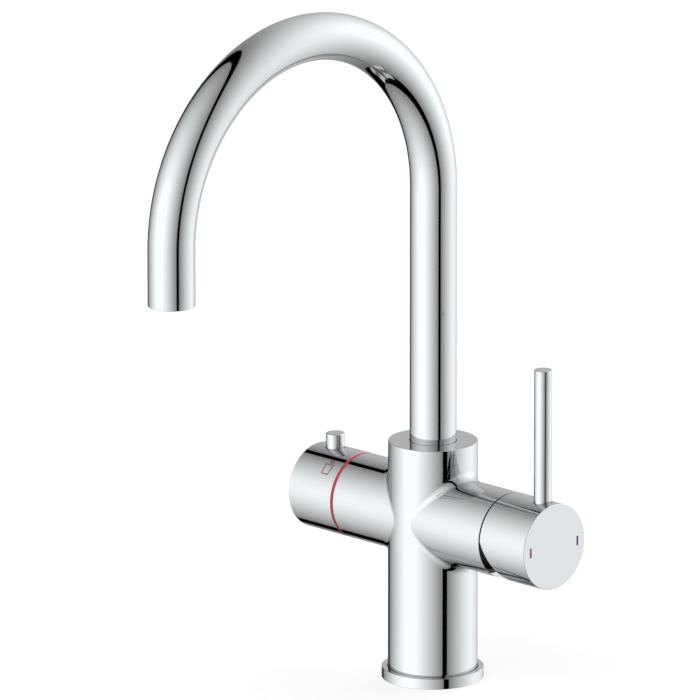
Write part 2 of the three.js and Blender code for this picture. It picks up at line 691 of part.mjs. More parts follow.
function movingDiscPiece() {
  const body = solid(turned([
    [0, movingDisc], [movingDiscR, movingDisc], [movingDiscR, movingDiscTop],
    [discBossR, movingDiscTop], [discBossR, movingDiscTop + DISC_BOSS_H],
    [0, movingDiscTop + DISC_BOSS_H],
  ]));
  const recess = rod(recessR, movingDisc - PAST, movingDisc + DISC_RECESS_DEPTH, FINE);
  const pocketR = BALL_R + RUN_GAP;
  const pocket = rod(pocketR, ballX - pocketR, movingDiscTop + DISC_BOSS_H + PAST, FINE);
  return cut(body, solid(recess), solid(pocket));
}

function box(fromX, toX, halfY, low, high) {
  const geometry = new THREE.BoxGeometry(toX - fromX, 2 * halfY, high - low);
  return solid(geometry.translate((fromX + toX) / 2, 0, (low + high) / 2));
}

function stemCarrier() {
  const flangeR = cartridgeBoreR - RUN_GAP;
  const flangeTop = carrier + CARRIER_FLANGE_T;
  const neckEnd = pivotX + CARRIER_NECK_PAST_PIVOT;
  const body = solid(turned([
    [0, carrier], [flangeR, carrier], [flangeR, flangeTop],
    [carrierNeckR, flangeTop], [carrierNeckR, neckEnd], [0, neckEnd],
  ]));
  const tilt = THREE.MathUtils.degToRad(TILT_LIMIT);
  const stemSwing = STEM_R / Math.cos(tilt) + RUN_GAP;
  const bossHalf = discBossR + RUN_GAP;
  const discSlot = box(-bossHalf - discTravel, bossHalf, bossHalf, carrier - PAST, flangeTop);
  const stemSlot = box(
    -stemSwing - (pivotX - flangeTop) * Math.tan(tilt),
    stemSwing + CARRIER_NECK_PAST_PIVOT * Math.tan(tilt),
    STEM_R + RUN_GAP, flangeTop - PAST, neckEnd + PAST,
  );
  return cut(body, discSlot, stemSlot, pinHole(STEM_PIN_R + FIT_GAP));
}

function pinHole(radius) {
  return solid(alongY(rod(radius, -cartridgeR, cartridgeR, TINY)).translate(0, 0, pivotX));
}

function stemPin() {
  const half = carrierNeckR - STEM_PIN_SHORT;
  return solid(alongY(rod(STEM_PIN_R, -half, half, TINY)));
}

function mixerStem() {
  const neckAt = ballX + Math.sqrt(BALL_R ** 2 - STEM_NECK_R ** 2);
  const shoulder = ballX + BALL_ARM / 2;
  const end = capStart + CAP_CAVITY_DEPTH + CAP_SOCKET_DEPTH - SEAT_GAP;
  const ball = arc(ballX, BALL_R, ballX - BALL_R, neckAt, BALL_STEPS).slice(1);
  const body = solid(turned([
    [0, ballX - BALL_R], ...ball, [STEM_NECK_R, shoulder - STEM_TAPER], [STEM_R, shoulder], [STEM_R, end],
    [0, end],
  ], FINE));
  return cut(body, pinHole(STEM_PIN_R + RUN_GAP));
}

function cartridgeNut() {
  const outer = mixerBoreR - FIT_GAP;
  const inner = carrierNeckR + RUN_GAP + HOUSING_NECK_WALL + FIT_GAP;
  const ring = solid(sleeve(inner, outer, nut, nut + NUT_H));
  const top = nut + NUT_H;
  const across = outer + PAST;
  const floor = top - NUT_SLOT_DEPTH;
  const slot = box(-across, across, NUT_SLOT_W / 2, floor, top + PAST);
  const cross = box(-NUT_SLOT_W / 2, NUT_SLOT_W / 2, across, floor, top + PAST);
  return cut(ring, slot, cross);
}

// The cover bulges out of the arm as part of a ball about the lever's pivot, so that the cap can tilt
// over it with the same clearance all the way.
function cartridgeCover() {
  const outerBall = Math.hypot(coverR, MIXER_ARM_END - pivotX);
  const innerBall = outerBall - COVER_T;
  const skirtInner = coverR - COVER_T;
  const mouthAt = (ball) => pivotX + Math.sqrt(ball ** 2 - coverMouthR ** 2);
  const innerStart = pivotX + Math.sqrt(innerBall ** 2 - skirtInner ** 2);
  const start = MIXER_ARM_END - COVER_SKIRT;
  return solid(turned([
    [skirtInner, start], [coverR, start],
    ...arc(pivotX, outerBall, MIXER_ARM_END, mouthAt(outerBall), COVER_STEPS),
    ...arc(pivotX, innerBall, innerStart, mouthAt(innerBall), COVER_STEPS).reverse(),
  ], COVER_SIDES));
}

function reliefWedge() {
  const side = armR + PAST;
  const slope = Math.tan(THREE.MathUtils.degToRad(RELIEF_ANGLE));
  const outline = new THREE.Shape([
    new THREE.Vector2(-RELIEF_START, capStart - PAST),
    new THREE.Vector2(-RELIEF_START, capStart),
    new THREE.Vector2(side, capStart + (side + RELIEF_START) * slope),
    new THREE.Vector2(side, capStart - PAST),
  ]);
  const wedge = new THREE.ExtrudeGeometry(outline, { depth: 2 * side, bevelEnabled: false });
  return solid(wedge.rotateX(Math.PI / 2).translate(0, side, 0));
}

function mixerCap() {
  const cavityEnd = capStart + CAP_CAVITY_DEPTH;
  const socketEnd = cavityEnd + CAP_SOCKET_DEPTH;
  const socketBore = STEM_R + FIT_GAP;
  const body = solid(turned([
    [0, socketEnd], [socketBore, socketEnd], [socketBore, cavityEnd], [capCavityR, cavityEnd],
    [capCavityR, capStart], [armR, capStart], [armR, capEnd - EDGE], [armR - EDGE, capEnd],
    [0, capEnd],
  ], SMOOTH));
  const shankBore = up(rod(LEVER_SHANK_R + FIT_GAP, -leverTop, 0, FINE)).translate(0, 0, LEVER_X);
  const counterbore = up(rod(LEVER_R + FIT_GAP, -leverTop, -leverSeat, ROUND))
    .translate(0, 0, LEVER_X);
  return cut(body, reliefWedge(), solid(shankBore), solid(counterbore));
}

// In the world's directions, standing on the arms' axis.
function mixerLever() {
  const seat = leverSeat + SEAT_GAP;
  const tip = STEM_R + SEAT_GAP;
  return solid(turned([
    [0, tip], [LEVER_SHANK_R, tip], [LEVER_SHANK_R, seat], [LEVER_R, seat],
    [LEVER_R, leverTop - EDGE], [LEVER_R - EDGE, leverTop], [0, leverTop],
  ], ROUND));
}

// ---------------------------------------------------------------- boiling-water arm, in its own frame
function valvePlate(radius, low, thickness) {
  const holes = [-VALVE_PORT_OFFSET, VALVE_PORT_OFFSET].map((x) => solid(
    rod(OUTLET_WAY_R, low - PAST, low + thickness + PAST, TINY).translate(x, 0, 0),
  ));
  return cut(solid(rod(radius, low, low + thickness)), ...holes);
}

// The slot in its face lies across the ports when closed and joins them after a quarter turn.
function valveMovingDisc() {
  const halfWidth = VALVE_PORT_OFFSET - OUTLET_WAY_R - VALVE_SLOT_LAP;
  const halfLength = VALVE_PORT_OFFSET + OUTLET_WAY_R + VALVE_SLOT_LAP;
  return cut(
    solid(rod(valveChamberR - 2 * RUN_GAP, valveMoving, valveMoving + VALVE_MOVING_T)),
    box(-halfWidth, halfWidth, halfLength, valveMoving - PAST, valveMoving + VALVE_SLOT_DEPTH),
  );
}

function valveStem() {
  const flangeR = valveChamberR - 2 * RUN_GAP;
  const flangeTop = valveFlange + VALVE_FLANGE_T;
  return solid(turned([
    [0, valveFlange], [flangeR, valveFlange], [flangeR, flangeTop], [VALVE_STEM_R, flangeTop],
    ...sealGroove(STEM_SEAL_X, VALVE_STEM_R, STEM_SEAL_R),
    [VALVE_STEM_R, boilingStemEnd], [0, boilingStemEnd],
  ], FINE));
}

function stemSeal() {
  return solid(new THREE.TorusGeometry(VALVE_STEM_R - STEM_SEAL_R, STEM_SEAL_R, SEAL_SIDES, FINE)
    .translate(0, 0, STEM_SEAL_X));
}

function valveBody() {
  const bore = VALVE_STEM_R + RUN_GAP;
  const face = boilingCapStart - SEAT_GAP;
  const hexEnd = face + HEX_T;
  const round = solid(turned([
    [valveChamberR, valveBase], [valveR, valveBase], [valveR, face], [NOSE_R, face], [NOSE_R, NOSE_END],
    [bore, NOSE_END], [bore, valveChamberEnd], [valveChamberR, valveChamberEnd],
  ]));
  const hexagon = cut(
    solid(rod(HEX_R, face - PAST, hexEnd, HEX_SIDES)),
    solid(rod(NOSE_R - HEX_ROOT, face - 2 * PAST, hexEnd + PAST)),
  );
  return join(round, hexagon);
}

function redRingPiece() {
  return solid(sleeve(valveR + FIT_GAP, armR, redRing, redRing + RED_RING_W, SMOOTH));
}

// The slot is as long as the handle's quarter turn and the width of the peg's pin.
function lockCollar() {
  const pinHalfAngle = THREE.MathUtils.radToDeg(
    Math.asin((BUTTON_PIN_R + RUN_GAP) / collarInnerR),
  );
  const low = BUTTON_X - COLLAR_W / 2;
  const high = BUTTON_X + COLLAR_W / 2;
  const slot = sector(
    collarInnerR - PAST, collarR + PAST, -BOILING_TURN - pinHalfAngle, pinHalfAngle,
    low - PAST, high + PAST,
  );
  return cut(solid(sleeve(collarInnerR, collarR, low, high)), solid(slot));
}

function boilingCap() {
  const socketBore = VALVE_STEM_R + FIT_GAP;
  const socketEnd = BOILING_CAP_END - BOILING_SOCKET_FLOOR;
  const shell = solid(turned([
    [0, socketEnd], [socketBore, socketEnd], [socketBore, boilingCapCavity],
    [boilingCapCavityR, boilingCapCavity], [boilingCapCavityR, boilingCapStart],
    [armR, boilingCapStart], [armR, BOILING_CAP_END - EDGE], [armR - EDGE, BOILING_CAP_END],
    [0, BOILING_CAP_END],
  ], SMOOTH));
  const pegBore = BUTTON_R + RUN_GAP;
  const bossR = pegBore + BUTTON_BOSS_WALL;
  const bossLow = buttonFloor - BUTTON_FLOOR_T;
  const insideWall = armR - BOILING_CAP_WALL / 2;
  const inBoss = (geometry) => solid(up(geometry).translate(0, 0, BUTTON_X));
  const boss = inBoss(rod(bossR, bossLow, boilingCapCavityR, ROUND))
    .intersect(solid(rod(insideWall, boilingCapStart, boilingCapCavity + PAST, SMOOTH)));
  const pegHole = inBoss(rod(pegBore, buttonFloor, buttonTop, ROUND));
  const pinBore = inBoss(rod(BUTTON_PIN_R + RUN_GAP, 0, buttonTop, FINE));
  const screwHole = up(rod(HANDLE_SCREW_R + FIT_GAP, -armR - PAST, 0, FINE))
    .translate(0, 0, HANDLE_SCREW_X);
  const clearance = solid(rod(socketBore, boilingCapStart, socketEnd, SMOOTH));
  return cut(join(shell, boss), pegHole, pinBore, solid(screwHole), clearance);
}

function handleScrew() {
  const tip = VALVE_STEM_R + SEAT_GAP;
  return setScrew(HANDLE_SCREW_R, tip, tip + HANDLE_SCREW_L);
}

// ---------------------------------------------------------------- safety peg, standing on the axis
const clipTop = buttonFloor - BUTTON_FLOOR_T - SEAT_GAP;

function safetyButton() {
  const grooveLow = clipTop - CLIP_T - SEAT_GAP;
  return solid(turned([
    [0, buttonTip], [BUTTON_PIN_R, buttonTip], [BUTTON_PIN_R, grooveLow],
    [CLIP_GROOVE_R, grooveLow], [CLIP_GROOVE_R, clipTop + SEAT_GAP],
    [BUTTON_PIN_R, clipTop + SEAT_GAP], [BUTTON_PIN_R, buttonShoulder], [BUTTON_R, buttonShoulder],
    [BUTTON_R, buttonTop - EDGE], [BUTTON_R - EDGE, buttonTop], [0, buttonTop],
  ], ROUND));
}

function buttonClip() {
  return solid(sleeve(CLIP_GROOVE_R + FIT_GAP, CLIP_R, clipTop - CLIP_T, clipTop, FINE));
}

class SpringLine extends THREE.Curve {
  getPoint(t, target = new THREE.Vector3()) {
    const low = buttonFloor + SEAT_GAP + SPRING_WIRE_R;
    const high = buttonShoulder - SEAT_GAP - SPRING_WIRE_R;
    const turn = 2 * Math.PI * SPRING_COILS * t;
    return target.set(
      SPRING_MEAN_R * Math.cos(turn), SPRING_MEAN_R * Math.sin(turn), THREE.MathUtils.lerp(low, high, t),
    );
  }
}

function buttonSpring() {
  const wire = new THREE.Shape();
  for (let i = 0; i < WIRE_SIDES; i += 1) {
    const turn = (2 * Math.PI * i) / WIRE_SIDES;
    const [x, y] = [SPRING_WIRE_R * Math.cos(turn), SPRING_WIRE_R * Math.sin(turn)];
    if (i === 0) wire.moveTo(x, y);
    else wire.lineTo(x, y);
  }
  return solid(new THREE.ExtrudeGeometry(wire, {
    steps: SPRING_COILS * STEPS_PER_COIL, extrudePath: new SpringLine(), bevelEnabled: false,
  }));
}

// ---------------------------------------------------------------- finishes
const finish = {
  chrome: { color: 0xd9dbdd, roughness: 0.06, metalness: 1 },
  brass: { color: 0xb6975a, roughness: 0.35, metalness: 1 },
  steel: { color: 0x9c9fa3, roughness: 0.3, metalness: 1 },
  rubber: { color: 0x1c1c1d, roughness: 0.85, metalness: 0 },
  silicone: { color: 0xe6e4dc, roughness: 0.5, metalness: 0 },
  ceramic: { color: 0xf0efe9, roughness: 0.25, metalness: 0 },
  nylon: { color: 0xe9e8e2, roughness: 0.5, metalness: 0 },
  black: { color: 0x2a2b2d, roughness: 0.5, metalness: 0 },
  red: { color: 0xc8222b, roughness: 0.35, metalness: 0 },
};

function piece(name, manifold, look) {
  const { vertProperties, triVerts, numProp } = manifold.getMesh();
  const positions = new Float32Array((vertProperties.length / numProp) * 3);
  for (let i = 0; i * numProp < vertProperties.length; i += 1) {
    positions.set(vertProperties.subarray(i * numProp, i * numProp + 3), i * 3);
  }
  const geometry = new THREE.BufferGeometry();
  geometry.setAttribute('position', new THREE.BufferAttribute(positions, 3));
  geometry.setIndex(new THREE.BufferAttribute(new Uint32Array(triVerts), 1));
  geometry.computeVertexNormals();
  const mesh = new THREE.Mesh(geometry, new THREE.MeshStandardMaterial(finish[look]));
  mesh.name = name;
  return mesh;
}

// ---------------------------------------------------------------- assembly
const tap = new THREE.Group();

const body = new THREE.Group();
const stopScrew = piece('spout_stop_screw', spoutStopScrew(), 'steel');
stopScrew.rotation.x = -Math.PI / 2;
stopScrew.position.z = stopZ;
body.add(
  piece('body_casting', bodyCasting(), 'chrome'),
  piece('base_ring', baseRing(), 'chrome'),
  piece('base_gasket', baseGasket(), 'rubber'),
  piece('inlet_manifold', inletManifold(), 'brass'),
  piece('manifold_gasket', manifoldGasket(), 'rubber'),
  piece('spout_glide_ring', spoutGlideRing(), 'nylon'),
  piece('boiling_nipple', boilingNipple(), 'brass'),
  stopScrew,
);

const spout = new THREE.Group();
const outlet = new THREE.Group();
outlet.position.y = -SPOUT_REACH;
outlet.add(
  piece('aerator_housing', aeratorHousing(), 'steel'),
  piece('aerator_insert', aeratorInsert(), 'black'),
  piece('aerator_washer', aeratorWasher(), 'rubber'),
);
spout.add(
  piece('spout_tube', spoutTube(), 'chrome'),
  piece('spout_foot', spoutFoot(), 'brass'),
  piece('spout_seal_upper', spoutSeal(BODY_TOP - UPPER_SEAL_DROP), 'rubber'),
  piece('spout_seal_lower', spoutSeal(socketFloor + LOWER_SEAL_RISE), 'rubber'),
  piece('boiling_hose', boilingHose(), 'silicone'),
  outlet,
);

const mixerArm = new THREE.Group();
mixerArm.rotation.y = Math.PI / 2;
mixerArm.position.z = ARM_Z;
const pin = piece('stem_pin', stemPin(), 'steel');
pin.position.z = pivotX;
mixerArm.add(
  piece('cartridge_seal', portedDisc(cartridgeR, sealBase, CARTRIDGE_SEAL_T), 'rubber'),
  piece('cartridge_base', portedDisc(cartridgeR, cartridgeBase, CARTRIDGE_BASE_T), 'nylon'),
  piece('fixed_disc', portedDisc(
    cartridgeBoreR - FIT_GAP, fixedDisc, FIXED_DISC_T,
  ), 'ceramic'),
  piece('cartridge_housing', cartridgeHousing(), 'nylon'),
  piece('cartridge_nut', cartridgeNut(), 'brass'),
  piece('cartridge_cover', cartridgeCover(), 'chrome'),
  piece('moving_disc', movingDiscPiece(), 'ceramic'),
  piece('stem_carrier', stemCarrier(), 'nylon'),
  pin,
  piece('mixer_stem', mixerStem(), 'brass'),
  piece('mixer_cap', mixerCap(), 'chrome'),
);
const lever = new THREE.Group();
lever.position.set(LEVER_X, 0, ARM_Z);
lever.add(piece('mixer_lever', mixerLever(), 'chrome'));

const boilingArm = new THREE.Group();
boilingArm.rotation.y = -Math.PI / 2;
boilingArm.position.z = ARM_Z;
boilingArm.add(
  piece('valve_seal', valvePlate(valveR, valveSeal, VALVE_SEAL_T), 'rubber'),
  piece('valve_fixed_disc', valvePlate(
    valveChamberR - FIT_GAP, valveBase, VALVE_FIXED_T,
  ), 'ceramic'),
  piece('valve_moving_disc', valveMovingDisc(), 'ceramic'),
  piece('valve_stem', valveStem(), 'brass'),
  piece('stem_seal', stemSeal(), 'rubber'),
  piece('valve_body', valveBody(), 'brass'),
  piece('red_ring', redRingPiece(), 'red'),
  piece('lock_collar', lockCollar(), 'steel'),
  piece('boiling_cap', boilingCap(), 'chrome'),
);
const peg = new THREE.Group();
peg.position.set(-BUTTON_X, 0, ARM_Z);
peg.add(
  piece('safety_button', safetyButton(), 'chrome'),
  piece('button_clip', buttonClip(), 'steel'),
  piece('button_spring', buttonSpring(), 'steel'),
);
const grub = piece('handle_screw', handleScrew(), 'steel');
grub.rotation.x = Math.PI;
grub.position.set(-HANDLE_SCREW_X, 0, ARM_Z);

tap.add(body, spout, mixerArm, lever, boilingArm, peg, grub);

export default tap;
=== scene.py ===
"""Looks of a boiling water tap: chrome body with a mixer arm, a boiling-water arm and an arched spout.

Metres, +Z up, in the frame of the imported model. Sizes are read from the model's own nodes wherever they
can be. The chromed pieces are made again as smooth surfaces with exact normals, because chrome shows
every facet, and the inner pieces keep their solids and get their finishes here.
"""

import math

import bpy
import numpy as np
from mathutils import Matrix, Vector


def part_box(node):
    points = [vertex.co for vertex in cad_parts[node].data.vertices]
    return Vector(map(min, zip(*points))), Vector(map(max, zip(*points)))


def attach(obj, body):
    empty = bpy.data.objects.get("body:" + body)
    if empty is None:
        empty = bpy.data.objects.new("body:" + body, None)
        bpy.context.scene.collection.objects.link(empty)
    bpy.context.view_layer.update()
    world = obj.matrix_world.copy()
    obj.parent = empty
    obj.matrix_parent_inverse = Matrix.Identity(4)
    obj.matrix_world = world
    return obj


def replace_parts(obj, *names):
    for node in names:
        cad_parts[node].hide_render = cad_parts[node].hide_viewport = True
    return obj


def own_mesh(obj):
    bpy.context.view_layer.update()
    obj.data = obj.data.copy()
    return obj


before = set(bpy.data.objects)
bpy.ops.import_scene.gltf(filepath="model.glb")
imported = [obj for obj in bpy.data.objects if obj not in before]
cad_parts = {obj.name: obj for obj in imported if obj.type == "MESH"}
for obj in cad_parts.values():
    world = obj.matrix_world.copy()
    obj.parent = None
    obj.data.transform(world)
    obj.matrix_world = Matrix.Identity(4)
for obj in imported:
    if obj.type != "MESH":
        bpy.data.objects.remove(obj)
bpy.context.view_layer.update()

MM = 0.001

# ---------------------------------------------------------------- camera and studio
VIEW_AZIMUTH = 45  # degrees, from the front towards the mixer arm
VIEW_ELEVATION = 15
VIEW_DISTANCE = 6.445
AIM_RIGHT = -0.04422  # of the picture's centre from the foot of the body
AIM_UP = 0.17408
LENS = 619.15  # mm
SENSOR = 36  # mm
CLIP_START, CLIP_END = 0.1, 100

# The studio that the chrome mirrors: two wide soft sources that face each other. Each is (azimuth and
# elevation of its middle, angles above its rim where its light starts and where it is full), in degrees.
NEAR_SOURCE = (-105.6, -1.7, -11.6, 68.9)
FAR_SOURCE = (70.8, 8.95, -8.2, 72.8)
# A thin black seam runs between the sources. Its two rims are planes a few degrees apart, given by the
# direction square to each (azimuth, elevation) and the angle above it at which the light begins.
NEAR_RIM = (-106.5, -2.6, 4.5)
FAR_RIM = (72.9, 7.2, 6.55)
SEAM_SOFT = 0.5  # degrees, from black to lit at either rim
STUDIO_GAIN = 1.025  # chrome takes a little of what it reflects
BOUNCE_LEVEL = 0.55  # of light that has gone from chrome to chrome once more
FIRST_BOUNCE = 2  # ray depth of light that came off one surface

KEY_LAMP = (-95, 50)  # azimuth and elevation, in degrees
FILL_LAMP = (80, 50)
LAMP_WIDTH = math.radians(50)
LAMP_DISTANCE = 3
LAMP_LEVEL = 0.34  # of a colour as written, from each of the two lamps
SKY_LEVEL = 0.5  # of a colour as written, from all round
FLOOR_SIZE = 40.0
FLOOR_GREY = 0.36
FLOOR_GLOW = 0.7  # share of the floor's white that its shadow can't take


# ---------------------------------------------------------------- sizes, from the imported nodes
def corners(node):
    """The lowest and the highest corner of the box round a node."""
    low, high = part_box(node)
    return np.array(low), np.array(high)


BODY_LOW, BODY_HIGH = corners("body_casting")
TUBE_LOW, TUBE_HIGH = corners("spout_tube")
CAP_LOW, CAP_HIGH = corners("mixer_cap")
LEVER_LOW, LEVER_HIGH = corners("mixer_lever")
COVER_LOW, COVER_HIGH = corners("cartridge_cover")
BOIL_LOW, BOIL_HIGH = corners("boiling_cap")
PEG_LOW, PEG_HIGH = corners("safety_button")
CLIP_LOW, CLIP_HIGH = corners("button_clip")
PIN_LOW, PIN_HIGH = corners("stem_pin")
STOP_LOW, STOP_HIGH = corners("spout_stop_screw")
GRUB_LOW, GRUB_HIGH = corners("handle_screw")
RING_HIGH = corners("base_ring")[1]
RED_HIGH = corners("red_ring")[1]
GASKET_HIGH = corners("base_gasket")[1]
MANIFOLD_HIGH = corners("inlet_manifold")[1]
STEM_HIGH = corners("mixer_stem")[1]
VALVE_HIGH = corners("valve_body")[1]

EDGE = 0.35 * MM  # broken edge of the chromed pieces
FINE_EDGE = 0.15 * MM  # of holes, and of the edges at the seams
FIT = 0.3 * MM  # clearance between pieces
HAIR = 0.05 * MM  # clearance that doesn't show

BODY_R = BODY_HIGH[1]
BODY_TOP = BODY_HIGH[2]
ARM_R = CAP_HIGH[1]
ARM_Z = (CAP_LOW[2] + CAP_HIGH[2]) / 2
MIXER_ARM_END = BODY_HIGH[0]
BOILING_ARM_END = -BODY_LOW[0]
FILLET_R = 5 * MM
MIXER_BORE_R = COVER_HIGH[1] + FIT
MIXER_WALL = corners("cartridge_seal")[0][0] - FIT
BOILING_BORE_R = VALVE_HIGH[1] + FIT
BOILING_WALL = -corners("valve_seal")[1][0] - FIT
MANIFOLD_BORE_R = MANIFOLD_HIGH[1] + FIT
MANIFOLD_ROOM = corners("manifold_gasket")[1][2] + FIT
GASKET_W = 3 * MM
STOP_Z = (STOP_LOW[2] + STOP_HIGH[2]) / 2
STOP_R = STOP_HIGH[0] + FIT

TUBE_R = TUBE_HIGH[0]
TUBE_WALL = 1.2 * MM
SOCKET_R = TUBE_R + FIT
SOCKET_FLOOR = corners("spout_glide_ring")[0][2] - FIT
ARCH_R = (-TUBE_LOW[1] - TUBE_R) / 2
ARCH_Z = TUBE_HIGH[2] - TUBE_R - ARCH_R
OUTLET_INSET = 1 * MM  # of the aerator above the tube's end
OUTLET_Z = corners("aerator_housing")[0][2] - OUTLET_INSET
TUBE_END = 5 * MM  # length of the tube's turned ends

CAP_WALL = 2.65 * MM
CAP_CAVITY = 16.4 * MM
RELIEF_SLOPE = math.radians(23.3)  # of the lower rear edge of the mixer's cap
RELIEF_START = 1 * MM  # above the arm's axis
LEVER_X = (LEVER_LOW[0] + LEVER_HIGH[0]) / 2
LEVER_R = LEVER_HIGH[1]
LEVER_SEAT = 21.5 * MM  # counterbore's floor, from the arm's axis
LEVER_SHANK_R = 3.6 * MM
PIVOT_X = (PIN_LOW[0] + PIN_HIGH[0]) / 2
COVER_T = 1.3 * MM
COVER_LIP = 5.5 * MM

BOILING_CAP_WALL = 2.3 * MM
BOILING_CAP_SOLID = 7 * MM  # its solid end, round the stem's socket
HEXAGON_T = 6.8 * MM  # of the valve's hexagon, inside the cap's mouth
GRUB_X = -(GRUB_LOW[0] + GRUB_HIGH[0]) / 2
GRUB_R = GRUB_HIGH[1] + FIT
STEM_PAST_GRUB = 2.6 * MM
PEG_X = -(PEG_LOW[0] + PEG_HIGH[0]) / 2
PEG_R = PEG_HIGH[1]
PEG_PIN_R = 2.3 * MM
PEG_GROOVE_R = 1.5 * MM  # where the clip sits on the pin
PEG_SHOULDER = 22 * MM  # these two from the arm's axis
PEG_FLOOR = 15.8 * MM
PEG_FLOOR_T = 1.5 * MM
SPRING_WIRE_R = 0.35 * MM
SPRING_COILS = 4

MARK_W = 1.3 * MM  # hot and cold marks on the end of the mixer's cap
MARK_H = 5.3 * MM
MARK_Y = 17.7 * MM
MARK_CORNER = 0.25 * MM
INLAY = 0.04 * MM  # how far a mark stands out of the chrome
MARK_DEPTH = 10 * INLAY
CUP_CENTRE = (-18.9 * MM, 63.1 * MM)  # round the arm from its crest, and along it
CUP_LINE = 0.56 * MM  # width of the drawn line
CUP_DEPTH = 4 * INLAY
CUP_HALF_H = 2.9 * MM
CUP_HALF_RIM = 2.7 * MM
CUP_HALF_FOOT = 2.15 * MM
STEAM_AT = (-0.3 * MM, 1.4 * MM)  # across the cup
STEAM_START = 0.9 * MM  # above the rim
STEAM_RISE = 2.2 * MM
STEAM_SWAY = 0.45 * MM

# ---------------------------------------------------------------- numbers of faces
WELD = 1e-6  # points nearer than this are one
ROUND_STEPS = 5  # rows of faces across a broken edge
TOP_STEPS = 48  # over an arm's side of the body
SIDE_STEPS = 96  # from the body's top to its foot
STRIP_STEPS = 8  # over the narrow strips between the two sides
CONTACT_STEPS = 14  # from an arm's blend to the rim of its side
BLEND_STEPS = 12  # across the blend
STOP_WINDOW = 4  # rows above and below the stop screw's hole
RING_STEPS = 160  # round the rings
TUBE_STEPS = 128  # round the tube and the dome
ARCH_STEPS = 150  # along the arch
DOME_STEPS = 16  # from the dome's rim to its mouth
PIN_STEPS = 96  # round the lever and the peg
WINDOW_STEPS = 24  # across the part of a cap that a hole is in
CAP_ROWS = 20  # along a cap
HOLE_ROWS = 6  # from a hole to the edge of its window
COIL_STEPS = 36  # along one coil
WIRE_STEPS = 10  # round the wire
CORNER_STEPS = 6  # round a mark's corner
STEAM_STEPS = 8  # along a line of steam
CUP_STEP = 0.6 * MM  # along a drawn line

BLEND_HALF = math.radians(80)  # half the width of the side of the body that an arm's blend stays in
LEVER_WINDOW = math.radians(18) # half the width of the part of a cap that the hole of each is in
PEG_WINDOW = math.radians(30)
GRUB_WINDOW = math.radians(8)

# The second finish is dull plate whose dark colour is painted shade, for bores, hollows and the faces inside
# the seams.
PLATED, DULL_PAINTED_SHADE = 0, 1  # a skin's finishes, in the order that build takes them
X, Y, Z = np.eye(3)


# ---------------------------------------------------------------- smooth surfaces
class Skin:
    """Patches of four-sided faces. Each corner keeps the exact normal of the surface it was taken from."""

    def __init__(self):
        self.points, self.normals, self.faces, self.kinds = [], [], [], []
        self.kind = PLATED
        self.count = 0

    def patch(self, points, normals):
        """Rows and columns of points, with the normal at each."""
        points = np.asarray(points, float)
        normals = np.broadcast_to(np.asarray(normals, float), points.shape)
        rows, columns = points.shape[:2]
        place = self.count + np.arange(rows * columns).reshape(rows, columns)
        quads = np.stack([place[:-1, :-1], place[1:, :-1], place[1:, 1:], place[:-1, 1:]], axis=-1)
        self.points.append(points.reshape(-1, 3))
        self.normals.append(normals.reshape(-1, 3))
        self.faces.append(quads.reshape(-1, 4))
        self.kinds.append(np.full(quads.size // 4, self.kind))
        self.count += rows * columns

    def build(self, name, body, slot, *finishes):
        """One closed mesh of all the patches, whose faces look outwards, riding on a body."""
        points = np.concatenate(self.points)
        normals = np.concatenate(self.normals)
        normals /= np.linalg.norm(normals, axis=1)[:, None]
        faces = np.concatenate(self.faces)
        cells = np.round(points / WELD).astype(np.int64)
        _, first, shared = np.unique(cells, axis=0, return_index=True, return_inverse=True)
        shared = shared.reshape(-1)
        a, b, c, d = (points[faces[:, k]] for k in range(4))
        outward = normals[faces].mean(axis=1)
        turned = np.einsum("ij,ij->i", np.cross(c - a, d - b), outward) < 0
        faces[turned] = faces[turned][:, ::-1]
        polygons, kinds, corner_normals = [], [], []
        for face, kind in zip(faces, np.concatenate(self.kinds)):
            ids = shared[face]
            kept = [k for k in range(4) if ids[k] != ids[k - 1]]
            if len(kept) > 2:
                polygons.append([int(ids[k]) for k in kept])
                kinds.append(int(kind))
                corner_normals.extend(normals[face[k]] for k in kept)
        mesh = bpy.data.meshes.new(name)
        mesh.from_pydata(points[first].tolist(), [], polygons)
        for material in finishes:
            mesh.materials.append(material)
        mesh.polygons.foreach_set("material_index", kinds)
        mesh.polygons.foreach_set("use_smooth", [True] * len(polygons))
        mesh.normals_split_custom_set([tuple(n) for n in corner_normals])
        mesh.update()
        piece = bpy.data.objects.new(name, mesh)
        bpy.context.scene.collection.objects.link(piece)
        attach(piece, body)
        return piece


class Axis:
    """A turning axis: its foot, its direction, and the directions of no turn and of a quarter turn."""

    def __init__(self, foot, along, zero, quarter):
        self.foot, self.along, self.zero, self.quarter = np.array((foot, along, zero, quarter), float)

    def spoke(self, angle):
        """The direction straight out from the axis."""
        angle = np.asarray(angle, float)[..., None]
        return np.cos(angle) * self.zero + np.sin(angle) * self.quarter

    def tangent(self, angle):
        """The direction round the axis."""
        angle = np.asarray(angle, float)[..., None]
        return np.cos(angle) * self.quarter - np.sin(angle) * self.zero

    def lean(self, radial, angle, axial):
        """A direction with a part outwards and a part along the axis."""
        radial = np.asarray(radial, float)[..., None]
        axial = np.asarray(axial, float)[..., None]
        return radial * self.spoke(angle) + axial * self.along

    def point(self, radius, angle, height):
        """Points round the axis. Rows of radii and heights make rows of points."""
        radius = np.asarray(radius, float)[..., None]
        height = np.asarray(height, float)[..., None]
        return self.foot + radius * self.spoke(angle) + height * self.along

    def turn_and_height(self, points):
        """The angle and the height of points round the axis."""
        local = points - self.foot
        return np.unwrap(np.arctan2(local @ self.quarter, local @ self.zero)), local @ self.along


UPRIGHT = Axis((0, 0, 0), Z, X, Y)
UPRIGHT_BACK = Axis((0, 0, 0), Z, -X, Y)
MIXER_AXIS = Axis((0, 0, ARM_Z), X, Z, Y)
BOILING_AXIS = Axis((0, 0, ARM_Z), -X, Z, Y)


